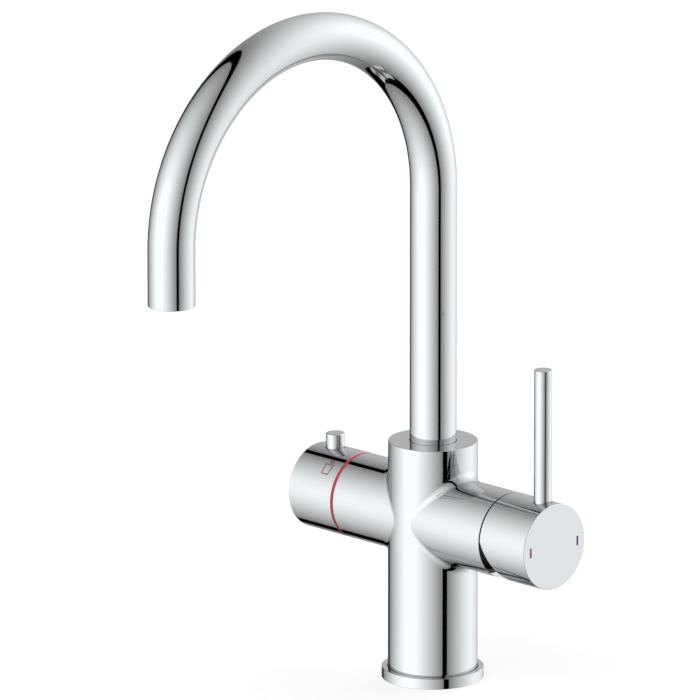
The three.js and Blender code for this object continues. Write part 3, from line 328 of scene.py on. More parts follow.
def turn(steps, start=0.0, end=math.tau):
    """Values in even steps from start to end, a full turn unless they are given."""
    return np.linspace(start, end, steps + 1)


def stretches(start, *parts):
    """Angles that go on from start in stretches that are each even, given as (steps, end)."""
    angles = []
    for steps, end in parts:
        angles.extend(turn(steps, start, end)[:-1])
        start = end
    return np.array([*angles, start])


def rounded(profile):
    """Smooth runs of (radius, height, radial normal, axial normal) along a profile.

    A profile is a list of (radius, height) or (radius, height, rounding). It goes from the axis at the
    bottom outwards and back at the top, so that its outside is on its right. A sharp corner ends a run
    and starts the next, and so does either end, so the first and the last run are left out.
    """
    spots = [(*p, 0.0)[:3] for p in profile]
    ways = []
    for (r0, h0, _), (r1, h1, _) in zip(spots, spots[1:]):
        length = math.hypot(r1 - r0, h1 - h0)
        ways.append(((r1 - r0) / length, (h1 - h0) / length))
    runs = [[]]
    for (r, h, rounding), (r_in, h_in), (r_out, h_out) in zip(spots, ways[:1] + ways, ways + ways[-1:]):
        if rounding == 0.0:
            runs[-1].append((r, h, h_in, -r_in))
            runs.append([(r, h, h_out, -r_out)])
            continue
        bend = math.atan2(r_in * h_out - h_in * r_out, r_in * r_out + h_in * h_out)
        back = rounding * math.tan(abs(bend) / 2)
        reach = math.copysign(rounding, bend)
        centre_r = r - back * r_in - reach * h_in
        centre_h = h - back * h_in + reach * r_in
        for k in range(ROUND_STEPS + 1):
            angle = bend * k / ROUND_STEPS
            n_r = h_in * math.cos(angle) + r_in * math.sin(angle)
            n_h = -r_in * math.cos(angle) + h_in * math.sin(angle)
            runs[-1].append((centre_r + reach * n_r, centre_h + reach * n_h, n_r, n_h))
    return [np.array(run) for run in runs[1:-1]]


def lathe(skin, axis, profile, angles):
    """The surface that a profile makes as it turns about an axis."""
    for run in rounded(profile):
        r, h, n_r, n_h = (run[:, k][:, None] for k in range(4))
        skin.patch(axis.point(r, angles, h), axis.lean(n_r, angles, n_h))


def disc(skin, rim, lean):
    """A flat face from a closed rim to its middle."""
    middle = rim[:-1].mean(axis=0)
    skin.patch([rim, np.broadcast_to(middle, rim.shape)], lean)


def arc(share, angle, first, last):
    """The direction at a share of the way from the first to the last, with the angle between them."""
    return (np.sin((1 - share) * angle) * first + np.sin(share * angle) * last) / np.sin(angle)


def edge_round(edge, normal_in, normal_out, rounding):
    """Rows across the rounding of an edge, from the surface with the first normal to the second."""
    share = (normal_in * normal_out).sum(-1, keepdims=True)
    centre = edge - rounding * (normal_in + normal_out) / (1 + share)
    angle = np.arccos(np.clip(share, -1, 1))
    leans = np.array([arc(t, angle, normal_in, normal_out) for t in turn(ROUND_STEPS, 0, 1)])
    return centre + rounding * leans, leans


def corner_stations(across, along):
    """The numbers of the stations at a rectangle's corners, from its upper left one and back to it."""
    return np.array([0, across, across + along, 2 * across + along, 2 * (across + along)])


def stations(rectangle, across, along):
    """Angles and heights of stations round a rectangle on a cylinder."""
    angle_low, angle_high, low, high = rectangle
    marks = corner_stations(across, along)
    numbers = np.arange(marks[-1] + 1)
    angles = np.interp(numbers, marks, [angle_low, angle_high, angle_high, angle_low, angle_low])
    return angles, np.interp(numbers, marks, [high, high, low, low, high])


def station_turns(radius, angles, heights, centre_angle, centre_height, across, along):
    """The direction of each station seen from a point inside the rectangle, even along each side."""
    marks = corner_stations(across, along)
    seen = np.arctan2((angles - centre_angle) * radius, heights - centre_height)[marks]
    return np.interp(np.arange(len(angles)), marks, np.unwrap(seen))


def spread(skin, axis, radius, inner, outer, steps, side=1):
    """A part of a cylinder between an inner and an outer loop, each given as (angles, heights)."""
    share = turn(steps, 0, 1)[:, None]
    angles = (1 - share) * inner[0] + share * outer[0]
    heights = (1 - share) * inner[1] + share * outer[1]
    skin.patch(axis.point(radius, angles, heights), side * axis.spoke(angles))


def pierced(skin, axis, radius, rectangle, hole, across, along, side=1, meets=None):
    """A rectangle of a cylinder with a round hole square to it: of its outside, or its inside for side -1.

    rectangle is (lowest angle, highest angle, low, high), hole is (angle, height, hole radius, floor),
    where the floor is the distance from the axis that the hole's wall goes to. The wall ends on the loop
    that it meets, if one is given. Returns the wall's foot.
    """
    centre_angle, centre_height, hole_r, floor = hole
    angles, heights = stations(rectangle, across, along)
    if meets is None:
        turns = station_turns(radius, angles, heights, centre_angle, centre_height, across, along)
    else:
        offset = meets - axis.foot - centre_height * axis.along
        turns = np.unwrap(np.arctan2(offset @ axis.tangent(centre_angle), offset @ axis.along))
    along_part, across_part = hole_r * np.cos(turns), hole_r * np.sin(turns)
    edge_angle = centre_angle + np.arcsin(across_part / radius)
    edge = axis.point(radius, edge_angle, centre_height + along_part)
    inward = -(np.cos(turns)[:, None] * axis.along + np.sin(turns)[:, None] * axis.tangent(centre_angle))
    rows, leans = edge_round(edge, side * axis.spoke(edge_angle), inward, FINE_EDGE)
    angle, height = axis.turn_and_height(rows[0])
    angle += math.tau * np.round((centre_angle - angle.mean()) / math.tau)
    rows[0] = axis.point(radius, angle, height)
    skin.patch(rows, leans)
    spread(skin, axis, radius, (angle, height), (angles, heights), HOLE_ROWS, side)
    foot = meets
    if meets is None:
        down = (rows[-1] - axis.foot) @ axis.spoke(centre_angle) - floor
        foot = rows[-1] - down[:, None] * axis.spoke(centre_angle)
    skin.patch([rows[-1], foot], inward)
    return foot


def well(skin, loop, middle, out, shape):
    """Goes on from the foot of a hole's wall, by (radius, level) along the hole. Returns the last loop."""
    level = float((loop[0] - middle) @ out)
    offset = loop - middle - level * out
    radius = float(np.linalg.norm(offset[0]))
    spokes = offset / radius
    for next_radius, next_level in shape:
        ring = middle + next_level * out + next_radius * spokes
        flat = abs(next_level - level) < WELD
        skin.patch([loop, ring], out * math.copysign(1, radius - next_radius) if flat else -spokes)
        loop, radius, level = ring, next_radius, next_level
    return loop


# ---------------------------------------------------------------- body
def arm_with_blend(skin, column, arm, end, bore_r, wall, low, high):
    """One half of the column with an arm: a ball rolled round the corner touches both along a curve."""
    angles, heights = stations((-BLEND_HALF, BLEND_HALF, low, high), TOP_STEPS, SIDE_STEPS)
    turns = station_turns(BODY_R, angles, heights, 0.0, ARM_Z, TOP_STEPS, SIDE_STEPS)
    aside = (ARM_R + FILLET_R) * np.sin(turns)
    rise = (ARM_R + FILLET_R) * np.cos(turns)
    along = np.sqrt((BODY_R + FILLET_R) ** 2 - aside ** 2)
    contact = (np.arcsin(aside / (BODY_R + FILLET_R)), ARM_Z + rise)
    spread(skin, column, BODY_R, contact, (angles, heights), CONTACT_STEPS)
    on_body, on_arm = column.point(BODY_R, *contact), arm.point(ARM_R, turns, along)
    centre = arm.foot + along[:, None] * X * arm.along[0] + aside[:, None] * Y + rise[:, None] * Z
    from_body, from_arm = (centre - on_body) / FILLET_R, (centre - on_arm) / FILLET_R
    between = np.arccos((from_body * from_arm).sum(-1, keepdims=True))
    leans = np.array([arc(t, between, from_body, from_arm) for t in turn(BLEND_STEPS, 0, 1)])
    rows = centre - FILLET_R * leans
    rows[0], rows[-1] = on_body, on_arm
    skin.patch(rows, leans)
    reach = np.array([along, np.full_like(along, end - EDGE)])
    skin.patch(arm.point(ARM_R, turns, reach), arm.spoke(turns))
    lathe(skin, arm, [(ARM_R, end - EDGE), (ARM_R, end, FINE_EDGE), (bore_r, end)], turns)
    # The arm's bore takes the dark dull plate: painted shade.
    skin.kind = DULL_PAINTED_SHADE
    lathe(skin, arm, [(bore_r, end), (bore_r, wall), (0, wall)], turns)
    skin.kind = PLATED


def body_casting(chrome, dull_shade_plate):
    """The body with both arms, the socket on top, the stop screw's hole and the room in the foot."""
    skin = Skin()
    low, high = BODY_LOW[2], BODY_TOP - EDGE
    arm_with_blend(skin, UPRIGHT, MIXER_AXIS, MIXER_ARM_END, MIXER_BORE_R, MIXER_WALL, low, high)
    arm_with_blend(skin, UPRIGHT_BACK, BOILING_AXIS, BOILING_ARM_END, BOILING_BORE_R, BOILING_WALL, low, high)
    levels = turn(SIDE_STEPS, high, low)
    back = turn(STRIP_STEPS, BLEND_HALF, math.pi - BLEND_HALF)
    front = turn(STRIP_STEPS, math.pi + BLEND_HALF, math.tau - BLEND_HALF)
    near = int(np.abs(levels - STOP_Z).argmin())
    above, below = near - STOP_WINDOW, near + STOP_WINDOW
    for strip, rows in ((front, levels), (back, levels[:above + 1]), (back, levels[below:])):
        skin.patch(UPRIGHT.point(BODY_R, strip, rows[:, None]), UPRIGHT.spoke(strip))
    foot = pierced(
        skin, UPRIGHT, BODY_R, (back[0], back[-1], levels[below], levels[above]),
        (math.pi / 2, STOP_Z, STOP_R, SOCKET_R + EDGE), STRIP_STEPS, below - above,
    )
    well(skin, foot, STOP_Z * Z, Y, [(0, SOCKET_R + EDGE)])
    around = stretches(
        -BLEND_HALF, (TOP_STEPS, BLEND_HALF), (STRIP_STEPS, math.pi - BLEND_HALF),
        (TOP_STEPS, math.pi + BLEND_HALF), (STRIP_STEPS, math.tau - BLEND_HALF),
    )
    lathe(skin, UPRIGHT, [(BODY_R, high), (BODY_R, BODY_TOP, EDGE), (SOCKET_R, BODY_TOP)], around)
    # The socket and the room in the foot take the dark dull plate: painted shade.
    skin.kind = DULL_PAINTED_SHADE
    lathe(skin, UPRIGHT, [(SOCKET_R, BODY_TOP), (SOCKET_R, SOCKET_FLOOR), (0, SOCKET_FLOOR)], around)
    lathe(skin, UPRIGHT, [
        (0, MANIFOLD_ROOM), (MANIFOLD_BORE_R, MANIFOLD_ROOM), (MANIFOLD_BORE_R, low), (BODY_R, low),
    ], around)
    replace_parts(skin.build("body_shell", "tap_body", "chrome", chrome, dull_shade_plate), "body_casting")


def base_ring(chrome, dull_shade_plate):
    """The ring that the body stands in, with the gasket's groove under it."""
    skin = Skin()
    groove_outer = GASKET_HIGH[1] + FIT
    groove_inner = GASKET_HIGH[1] - GASKET_W - FIT
    groove_top = GASKET_HIGH[2] + FIT
    ring_r, top = RING_HIGH[1], RING_HIGH[2]
    floor_z = BODY_LOW[2] - FIT
    lathe(skin, UPRIGHT, [
        (groove_outer, 0), (ring_r, 0, FINE_EDGE), (ring_r, top, EDGE), (BODY_R + FIT, top, FINE_EDGE),
        (BODY_R + FIT, floor_z),
    ], turn(RING_STEPS))
    # The ring's inside and the groove take the dark dull plate: painted shade.
    skin.kind = DULL_PAINTED_SHADE
    lathe(skin, UPRIGHT, [
        (BODY_R + FIT, floor_z), (MANIFOLD_BORE_R, floor_z), (MANIFOLD_BORE_R, 0), (groove_inner, 0),
        (groove_inner, groove_top), (groove_outer, groove_top), (groove_outer, 0),
    ], turn(RING_STEPS))
    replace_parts(skin.build("base_ring_shell", "tap_body", "chrome", chrome, dull_shade_plate), "base_ring")


# ---------------------------------------------------------------- spout
def spout_tube(chrome):
    """The riser, the half-round arch and the short leg that ends in the outlet, as one bent tube."""
    skin = Skin()
    bore_r = TUBE_R - TUBE_WALL
    low = TUBE_LOW[2]
    centres, sides = [(0, 0, low + TUBE_END)], [Y]
    for bend in turn(ARCH_STEPS, 0, math.pi):
        centres.append((0, ARCH_R * (math.cos(bend) - 1), ARCH_Z + ARCH_R * math.sin(bend)))
        sides.append(math.cos(bend) * Y + math.sin(bend) * Z)
    centres.append((0, -2 * ARCH_R, OUTLET_Z + TUBE_END))
    sides.append(-Y)
    centres, sides = np.array(centres)[:, None], np.array(sides)[:, None]
    around = turn(TUBE_STEPS)
    spokes = np.cos(around)[None, :, None] * X + np.sin(around)[None, :, None] * sides
    skin.patch(centres + TUBE_R * spokes, spokes)
    skin.patch(centres + bore_r * spokes, -spokes)
    lathe(skin, UPRIGHT, [
        (bore_r, low + TUBE_END), (bore_r, low), (TUBE_R, low), (TUBE_R, low + TUBE_END),
    ], around)
    outlet = Axis((0, -2 * ARCH_R, OUTLET_Z), -Z, X, -Y)
    lathe(skin, outlet, [
        (TUBE_R, -TUBE_END), (TUBE_R, 0, EDGE), (bore_r, 0, EDGE), (bore_r, -TUBE_END),
    ], around)
    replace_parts(skin.build("spout_shell", "spout", "chrome", chrome), "spout_tube")


# ---------------------------------------------------------------- mixer arm
def cartridge_cover(chrome):
    """The dome in the arm's mouth, whose ball is centred on the pivot that the lever tilts about."""
    skin = Skin()
    cover_r, start = COVER_HIGH[1], COVER_LOW[0]
    inner_r, mouth_r = cover_r - COVER_T, cover_r - COVER_LIP
    ball = math.hypot(cover_r, MIXER_ARM_END - PIVOT_X)
    around = turn(TUBE_STEPS)
    lathe(skin, MIXER_AXIS, [(inner_r, start), (cover_r, start), (cover_r, MIXER_ARM_END)], around)
    rims = []
    for radius, root, side in ((ball, cover_r, 1.0), (ball - COVER_T, inner_r, -1.0)):
        lean = turn(DOME_STEPS, math.acos(root / radius), math.acos(mouth_r / radius))[:, None]
        points = MIXER_AXIS.point(radius * np.cos(lean), around, PIVOT_X + radius * np.sin(lean))
        skin.patch(points, side * MIXER_AXIS.lean(np.cos(lean), around, np.sin(lean)))
        rims.append(points[-1])
    skin.patch(rims, -MIXER_AXIS.spoke(around))
    inner_root = PIVOT_X + math.sqrt((ball - COVER_T) ** 2 - inner_r ** 2)
    lathe(skin, MIXER_AXIS, [(inner_r, inner_root), (inner_r, start)], around)
    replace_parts(skin.build("cartridge_cover_shell", "tap_body", "chrome", chrome), "cartridge_cover")


def mixer_cap(chrome, dull_shade_plate):
    """The cap's lower rear edge slants back, which leaves the room that the cap tilts into."""
    skin = Skin()
    axis = MIXER_AXIS
    start, end = CAP_LOW[0], CAP_HIGH[0] - INLAY
    cavity_r, cavity_end = ARM_R - CAP_WALL, CAP_LOW[0] + CAP_CAVITY
    stem_r, stem_end = STEM_HIGH[1] + FIT, STEM_HIGH[0] + FIT
    side_steps, low_steps = 40, 88

    def around(radius):
        """Angles that fit the lever's window and both ends of the slanted edge."""
        crease = math.acos(RELIEF_START / radius)
        return stretches(
            -LEVER_WINDOW, (WINDOW_STEPS, LEVER_WINDOW), (side_steps, crease), (low_steps, math.tau - crease),
            (side_steps, math.tau - LEVER_WINDOW),
        )

    def rear(radius, angles):
        """Where the rear edge is along the arm."""
        return start + math.tan(RELIEF_SLOPE) * np.maximum(0, RELIEF_START - radius * np.cos(angles))

    outer, inner = around(ARM_R), around(cavity_r)
    first_crease = WINDOW_STEPS + side_steps
    last_crease = first_crease + low_steps
    square = -axis.along
    slant = -math.cos(RELIEF_SLOPE) * axis.along - math.sin(RELIEF_SLOPE) * Z
    face = np.tile(square, (len(outer), 1))
    face[first_crease + 1:last_crease] = slant
    face[[first_crease, last_crease]] = (square + slant) / np.linalg.norm(square + slant)
    lips, leans = edge_round(axis.point(ARM_R, outer, rear(ARM_R, outer)), axis.spoke(outer), face, FINE_EDGE)
    lip_angles, lip_heights = axis.turn_and_height(lips[0])
    lip_angles[:WINDOW_STEPS + 1] = outer[:WINDOW_STEPS + 1]
    lip_heights[:WINDOW_STEPS + 1] = start + FINE_EDGE
    lips[0] = axis.point(ARM_R, lip_angles, lip_heights)
    skin.patch(lips, leans)
    rest = slice(WINDOW_STEPS, None)
    lip_loop, end_loop = (lip_angles[rest], lip_heights[rest]), (outer[rest], end - EDGE)
    spread(skin, axis, ARM_R, lip_loop, end_loop, CAP_ROWS)
    foot = pierced(
        skin, axis, ARM_R, (-LEVER_WINDOW, LEVER_WINDOW, start + FINE_EDGE, end - EDGE),
        (0.0, LEVER_X, LEVER_R + FIT, LEVER_SEAT), WINDOW_STEPS, CAP_ROWS,
    )
    shank_r, shank_end = LEVER_SHANK_R + FIT, STEM_HIGH[1] + 2 * FIT
    well(skin, foot, axis.foot + LEVER_X * X, Z, [
        (shank_r, LEVER_SEAT), (shank_r, shank_end), (0, shank_end),
    ])
    lathe(skin, axis, [(ARM_R, end - EDGE), (ARM_R, end, EDGE), (0, end)], outer)
    # The rear faces, the cavity and the stem's socket take the dark dull plate: painted shade.
    skin.kind = DULL_PAINTED_SHADE
    rim = axis.point(cavity_r, inner, rear(cavity_r, inner))
    for part, lean in (
        (slice(0, first_crease + 1), square), (slice(first_crease, last_crease + 1), slant),
        (slice(last_crease, None), square),
    ):
        skin.patch([lips[-1][part], rim[part]], lean)
    skin.patch([rim, axis.point(cavity_r, inner, cavity_end)], -axis.spoke(inner))
    lathe(skin, axis, [
        (0, stem_end), (stem_r, stem_end), (stem_r, cavity_end), (cavity_r, cavity_end),
    ], inner)
    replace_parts(skin.build("mixer_cap_shell", "mixer_handle", "chrome", chrome, dull_shade_plate), "mixer_cap")


def mixer_lever(chrome):
    """The pin lever, with the shank that is screwed into the cap."""
    skin = Skin()
    axis = Axis((LEVER_X, 0, ARM_Z), Z, X, Y)
    tip, top = LEVER_LOW[2] - ARM_Z, LEVER_HIGH[2] - ARM_Z
    seat = LEVER_SEAT + FIT
    lathe(skin, axis, [
        (0, tip), (LEVER_SHANK_R, tip), (LEVER_SHANK_R, seat), (LEVER_R, seat), (LEVER_R, top, EDGE),
        (0, top),
    ], turn(PIN_STEPS))
    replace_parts(skin.build("mixer_lever_shell", "mixer_handle", "chrome", chrome), "mixer_lever")


# ---------------------------------------------------------------- boiling-water arm
def boiling_cap(chrome, dull_shade_plate):
    """The boiling-water handle: a cap with a hole for the peg on top and one for its screw below."""
    skin = Skin()
    axis = BOILING_AXIS
    start, end = -BOIL_HIGH[0], -BOIL_LOW[0]
    low, high = start + FINE_EDGE, end - EDGE
    cavity_r = ARM_R - BOILING_CAP_WALL
    wall = start - FIT + HEXAGON_T + EDGE
    bore_r, bore_end = corners("lock_collar")[1][1] + FIT, end - BOILING_CAP_SOLID
    stem_r, stem_end = corners("valve_stem")[1][1], GRUB_X + STEM_PAST_GRUB
    side_steps, grub_steps = 52, 10
    outer = stretches(
        -PEG_WINDOW, (WINDOW_STEPS, PEG_WINDOW), (side_steps, math.pi - GRUB_WINDOW),
        (grub_steps, math.pi + GRUB_WINDOW), (side_steps, math.tau - PEG_WINDOW),
    )
    for first in (PEG_WINDOW, math.pi + GRUB_WINDOW):
        side = turn(side_steps, first, first + math.pi - PEG_WINDOW - GRUB_WINDOW)
        skin.patch(axis.point(ARM_R, side, turn(CAP_ROWS, high, low)[:, None]), axis.spoke(side))
    foot = pierced(
        skin, axis, ARM_R, (-PEG_WINDOW, PEG_WINDOW, low, high), (0.0, PEG_X, PEG_R + FIT, PEG_FLOOR),
        WINDOW_STEPS, CAP_ROWS,
    )
    pin_r, clip_r = PEG_PIN_R + FIT, CLIP_HIGH[1] + FIT
    under_floor = PEG_FLOOR - PEG_FLOOR_T
    clip_room = well(skin, foot, axis.foot + PEG_X * axis.along, Z, [
        (pin_r, PEG_FLOOR), (pin_r, under_floor), (clip_r, under_floor),
    ])
    foot = pierced(
        skin, axis, ARM_R, (math.pi - GRUB_WINDOW, math.pi + GRUB_WINDOW, low, high),
        (math.pi, GRUB_X, GRUB_R, stem_r + EDGE), grub_steps, CAP_ROWS,
    )
    well(skin, foot, axis.foot + GRUB_X * axis.along, -Z, [(0, stem_r + EDGE)])
    lathe(skin, axis, [(ARM_R, high), (ARM_R, end, EDGE), (0, end)], outer)
    # The stem's socket, the bore and the cavity take the dark dull plate: painted shade.
    skin.kind = DULL_PAINTED_SHADE
    lathe(skin, axis, [(0, stem_end), (stem_r, stem_end), (stem_r, bore_end), (bore_r, bore_end)], outer)
    rest = outer[WINDOW_STEPS:]
    skin.patch(axis.point(bore_r, rest, turn(CAP_ROWS, bore_end, wall)[:, None]), -axis.spoke(rest))
    pierced(
        skin, axis, bore_r, (-PEG_WINDOW, PEG_WINDOW, wall, bore_end), (0.0, PEG_X, clip_r, under_floor),
        WINDOW_STEPS, CAP_ROWS, -1, clip_room,
    )
    lathe(skin, axis, [(bore_r, wall), (cavity_r, wall), (cavity_r, start)], outer)
    skin.kind = PLATED
    lathe(skin, axis, [(cavity_r, start), (ARM_R, start, FINE_EDGE), (ARM_R, low)], outer)
    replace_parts(skin.build("boiling_cap_shell", "boiling_handle", "chrome", chrome, dull_shade_plate), "boiling_cap")


def red_ring(enamel):
    """The ring fills the seam between arm and cap, all but a hair on either side."""
    skin = Skin()
    low, high = BOILING_ARM_END + HAIR, -BOIL_HIGH[0] - HAIR
    inner, outer = VALVE_HIGH[1] + FIT, RED_HIGH[1]
    lathe(skin, BOILING_AXIS, [
        (inner, low), (outer, low, FINE_EDGE), (outer, high, FINE_EDGE), (inner, high), (inner, low),
    ], turn(RING_STEPS))
    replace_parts(skin.build("red_ring_shell", "tap_body", "red_plastic", enamel), "red_ring")


def safety_peg(chrome):
    """The peg's round head and its thin pin, with the groove that the clip sits in."""
    skin = Skin()
    axis = Axis((-PEG_X, 0, ARM_Z), Z, X, Y)
    groove_low, groove_high = CLIP_LOW[2] - ARM_Z - FIT, CLIP_HIGH[2] - ARM_Z + FIT
    tip, top = PEG_LOW[2] - ARM_Z, PEG_HIGH[2] - ARM_Z
    lathe(skin, axis, [
        (0, tip), (PEG_PIN_R, tip), (PEG_PIN_R, groove_low), (PEG_GROOVE_R, groove_low),
        (PEG_GROOVE_R, groove_high), (PEG_PIN_R, groove_high), (PEG_PIN_R, PEG_SHOULDER),
        (PEG_R, PEG_SHOULDER), (PEG_R, top, 2 * EDGE), (0, top),
    ], turn(PIN_STEPS))
    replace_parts(skin.build("safety_peg_shell", "safety_peg", "chrome", chrome), "safety_button")


def peg_spring(steel):
    """A round wire in four coils, over the height of the spring's node."""
    skin = Skin()
    low, high = corners("button_spring")
    mean_r = high[1] - SPRING_WIRE_R
    foot, head = low[2] + SPRING_WIRE_R, high[2] - SPRING_WIRE_R
    turns = turn(SPRING_COILS * COIL_STEPS, 0, SPRING_COILS * math.tau)[:, None]
    rise = (head - foot) / (SPRING_COILS * math.tau)
    out = np.cos(turns) * X + np.sin(turns) * Y
    way = mean_r * (np.cos(turns) * Y - np.sin(turns) * X) + rise * Z
    up = np.cross(out, way) / np.linalg.norm(way, axis=1)[:, None]
    centres = (-PEG_X * X + mean_r * out) + (foot + rise * turns) * Z
    around = turn(WIRE_STEPS)[None, :, None]
    spokes = np.cos(around) * out[:, None] + np.sin(around) * up[:, None]
    skin.patch(centres[:, None] + SPRING_WIRE_R * spokes, spokes)
    for k, side in ((0, -1), (-1, 1)):
        disc(skin, centres[k] + SPRING_WIRE_R * spokes[k], side * way[k])
    spring = skin.build("peg_spring", "boiling_handle", "steel", steel)
    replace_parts(spring, "button_spring")
    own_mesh(spring)


# ---------------------------------------------------------------- signs
def mark(name, y, enamel):
    """A short upright bar of enamel in the end of the mixer's cap."""
    skin = Skin()
    side_y, side_z = MARK_W / 2 - MARK_CORNER, MARK_H / 2 - MARK_CORNER
    outline, leans = [], []
    for centre_y, centre_z, first in (
        (side_y, side_z, 0), (-side_y, side_z, 90), (-side_y, -side_z, 180), (side_y, -side_z, 270),
    ):
        for angle in np.radians(turn(CORNER_STEPS, first, first + 90)):
            lean = np.array((0, math.cos(angle), math.sin(angle)))
            outline.append(np.array((CAP_HIGH[0], y + centre_y, ARM_Z + centre_z)) + MARK_CORNER * lean)
            leans.append(lean)
    outline, leans = np.array(outline + outline[:1]), np.array(leans + leans[:1])
    back = outline - MARK_DEPTH * X
    skin.patch([outline, back], leans)
    disc(skin, outline, X)
    disc(skin, back, -X)
    skin.build(name, "mixer_handle", "red_plastic", enamel)


def ribbon(skin, line):
    """A thin raised line on the boiling-water cap through points given across and up."""
    for start, end in zip(line, line[1:]):
        start, end = np.array(start), np.array(end)
        length = np.linalg.norm(end - start)
        way = (end - start) / length
        part = np.linspace(start, end, max(2, int(length / CUP_STEP)) + 1)
        part[0] -= way * CUP_LINE / 2
        part[-1] += way * CUP_LINE / 2
        side = np.array((-way[1], way[0])) * CUP_LINE / 2
        up, down, leans = [], [], []
        for flat in (part + side, part - side):
            angle, height = (CUP_CENTRE[0] + flat[:, 1]) / ARM_R, CUP_CENTRE[1] - flat[:, 0]
            up.append(BOILING_AXIS.point(ARM_R + INLAY, angle, height))
            down.append(BOILING_AXIS.point(ARM_R - CUP_DEPTH, angle, height))
            leans.append(BOILING_AXIS.spoke(angle))
        skin.patch(up, leans)
        skin.patch(down, -np.array(leans))
        side_lean = (up[0] - up[1]) / CUP_LINE
        skin.patch([up[0], down[0]], side_lean)
        skin.patch([up[1], down[1]], -side_lean)
        for k, inner in ((0, 1), (-1, -2)):
            skin.patch([[up[0][k], up[1][k]], [down[0][k], down[1][k]]], up[0][k] - up[0][inner])


def cup_sign(enamel):
    """A plain outline of a cup that steams, drawn with a thin line on the boiling-water handle."""
    skin = Skin()
    ribbon(skin, [
        (-CUP_HALF_RIM, CUP_HALF_H), (CUP_HALF_RIM, CUP_HALF_H), (CUP_HALF_FOOT, -CUP_HALF_H),
        (-CUP_HALF_FOOT, -CUP_HALF_H), (-CUP_HALF_RIM, CUP_HALF_H),
    ])
    for across in STEAM_AT:
        ribbon(skin, [
            (across + STEAM_SWAY * math.sin(share * math.tau), CUP_HALF_H + STEAM_START + STEAM_RISE * share)
            for share in turn(STEAM_STEPS, 0, 1)
        ])
    skin.build("cup_sign", "boiling_handle", "red_plastic", enamel)


# ---------------------------------------------------------------- finishes
METAL, PLASTIC = 1.0, 0.0
FINE_GRAIN, COARSE_GRAIN = 0.03 * MM, 0.04 * MM


class Nodes:
    """The nodes of a material or of the world, with short calls that add and join them."""

    def __init__(self, holder):
        holder.use_nodes = True
        self.nodes, self.links = holder.node_tree.nodes, holder.node_tree.links

    def put(self, value, socket):
        """Joins a socket to another node's, or sets it to a value."""
        if isinstance(value, bpy.types.NodeSocket):
            self.links.new(value, socket)
        else:
            socket.default_value = value

    def add(self, kind, **values):
        """A new node, with what its sockets take. A _ stands for the space in a socket's name."""
        node = self.nodes.new("ShaderNode" + kind)
        for name, value in values.items():
            self.put(value, node.inputs[name.replace("_", " ")])
        return node

    def math(self, operation, *values):
        """One step of a sum."""
        node = self.add("Math")
        node.operation = operation
        for value, socket in zip(values, node.inputs):
            self.put(value, socket)
        return node.outputs["Value"]


class Finish(Nodes):
    """A material with the shader's own sockets, and fine noise that its colour, gloss and relief vary by."""

    def __init__(self, name, colour, metallic, roughness):
        self.material = bpy.data.materials.new(name)
        super().__init__(self.material)
        self.shader = self.nodes["Principled BSDF"].inputs
        self.put((*colour, 1), self.shader["Base Color"])
        self.put(metallic, self.shader["Metallic"])
        self.put(roughness, self.shader["Roughness"])
        self.place = self.add("TexCoord").outputs["Object"]

    def noise(self, scale, detail):
        """Noise of a scale, with as many finer layers as its detail says."""
        return self.add("TexNoise", Vector=self.place, Scale=scale, Detail=detail).outputs["Fac"]

    def tint(self, scale, detail, dark, light):
        """Patches from the dark colour to the light one."""
        mix = self.add("Mix")
        mix.data_type = "RGBA"
        self.put(self.noise(scale, detail), mix.inputs["Factor"])
        self.put((*dark, 1), mix.inputs["A"])
        self.put((*light, 1), mix.inputs["B"])
        self.put(mix.outputs["Result"], self.shader["Base Color"])

    def gloss(self, scale, detail, low, high):
        """Clouds from the low roughness to the high one."""
        clouds = self.add("MapRange", Value=self.noise(scale, detail), To_Min=low, To_Max=high)
        self.put(clouds.outputs["Result"], self.shader["Roughness"])

    def relief(self, scale, detail, strength, height):
        """Grain of a strength and a height."""
        bump = self.add("Bump", Height=self.noise(scale, detail), Strength=strength, Distance=height)
        self.put(bump.outputs["Normal"], self.shader["Normal"])


def chrome_finish():
    """Polished chrome plate: a cool tint, and gloss that clouds very slightly in broad patches."""
    finish = Finish("chrome_plate", (0.93, 0.96, 0.978), METAL, 0.05)
    finish.tint(18, 2, (0.925, 0.955, 0.973), (0.935, 0.965, 0.983))
    finish.gloss(55, 4, 0.035, 0.065)
    return finish.material


def dull_painted_shade_finish():
    """Dull plating whose dark colour is painted shade, inside bores, hollows and the faces in the seams."""
    finish = Finish("dull_plate_painted_shade", (0.26, 0.26, 0.27), METAL, 0.5)
    finish.tint(90, 4, (0.22, 0.22, 0.23), (0.3, 0.3, 0.31))
    finish.gloss(240, 3, 0.42, 0.6)
    finish.relief(1200, 3, 0.2, COARSE_GRAIN)
    return finish.material


def enamel_finish(name, colour, dark):
    """Gloss enamel or plastic, with a faint change of colour and gloss."""
    finish = Finish(name, colour, PLASTIC, 0.3)
    finish.tint(160, 3, dark, colour)
    finish.gloss(400, 3, 0.24, 0.36)
    return finish.material


def brass_finish():
    """Turned brass, with a little tarnish in broad patches."""
    finish = Finish("turned_brass", (0.71, 0.56, 0.31), METAL, 0.3)
    finish.tint(140, 4, (0.60, 0.45, 0.23), (0.76, 0.61, 0.35))
    finish.gloss(260, 3, 0.22, 0.42)
    finish.relief(900, 2, 0.15, COARSE_GRAIN)
    return finish.material


def steel_finish():
    """Turned steel, bright and a little uneven."""
    finish = Finish("turned_steel", (0.60, 0.61, 0.63), METAL, 0.28)
    finish.tint(220, 3, (0.54, 0.55, 0.57), (0.66, 0.67, 0.69))
    finish.gloss(500, 3, 0.2, 0.36)
    finish.relief(1400, 2, 0.1, FINE_GRAIN)
    return finish.material


def rubber_finish():
    """Black rubber, matt and finely grained."""
    finish = Finish("black_rubber", (0.025, 0.025, 0.027), PLASTIC, 0.75)
    finish.tint(300, 4, (0.018, 0.018, 0.02), (0.04, 0.04, 0.042))
    finish.gloss(420, 3, 0.65, 0.85)
    finish.relief(2600, 2, 0.3, COARSE_GRAIN)
    return finish.material


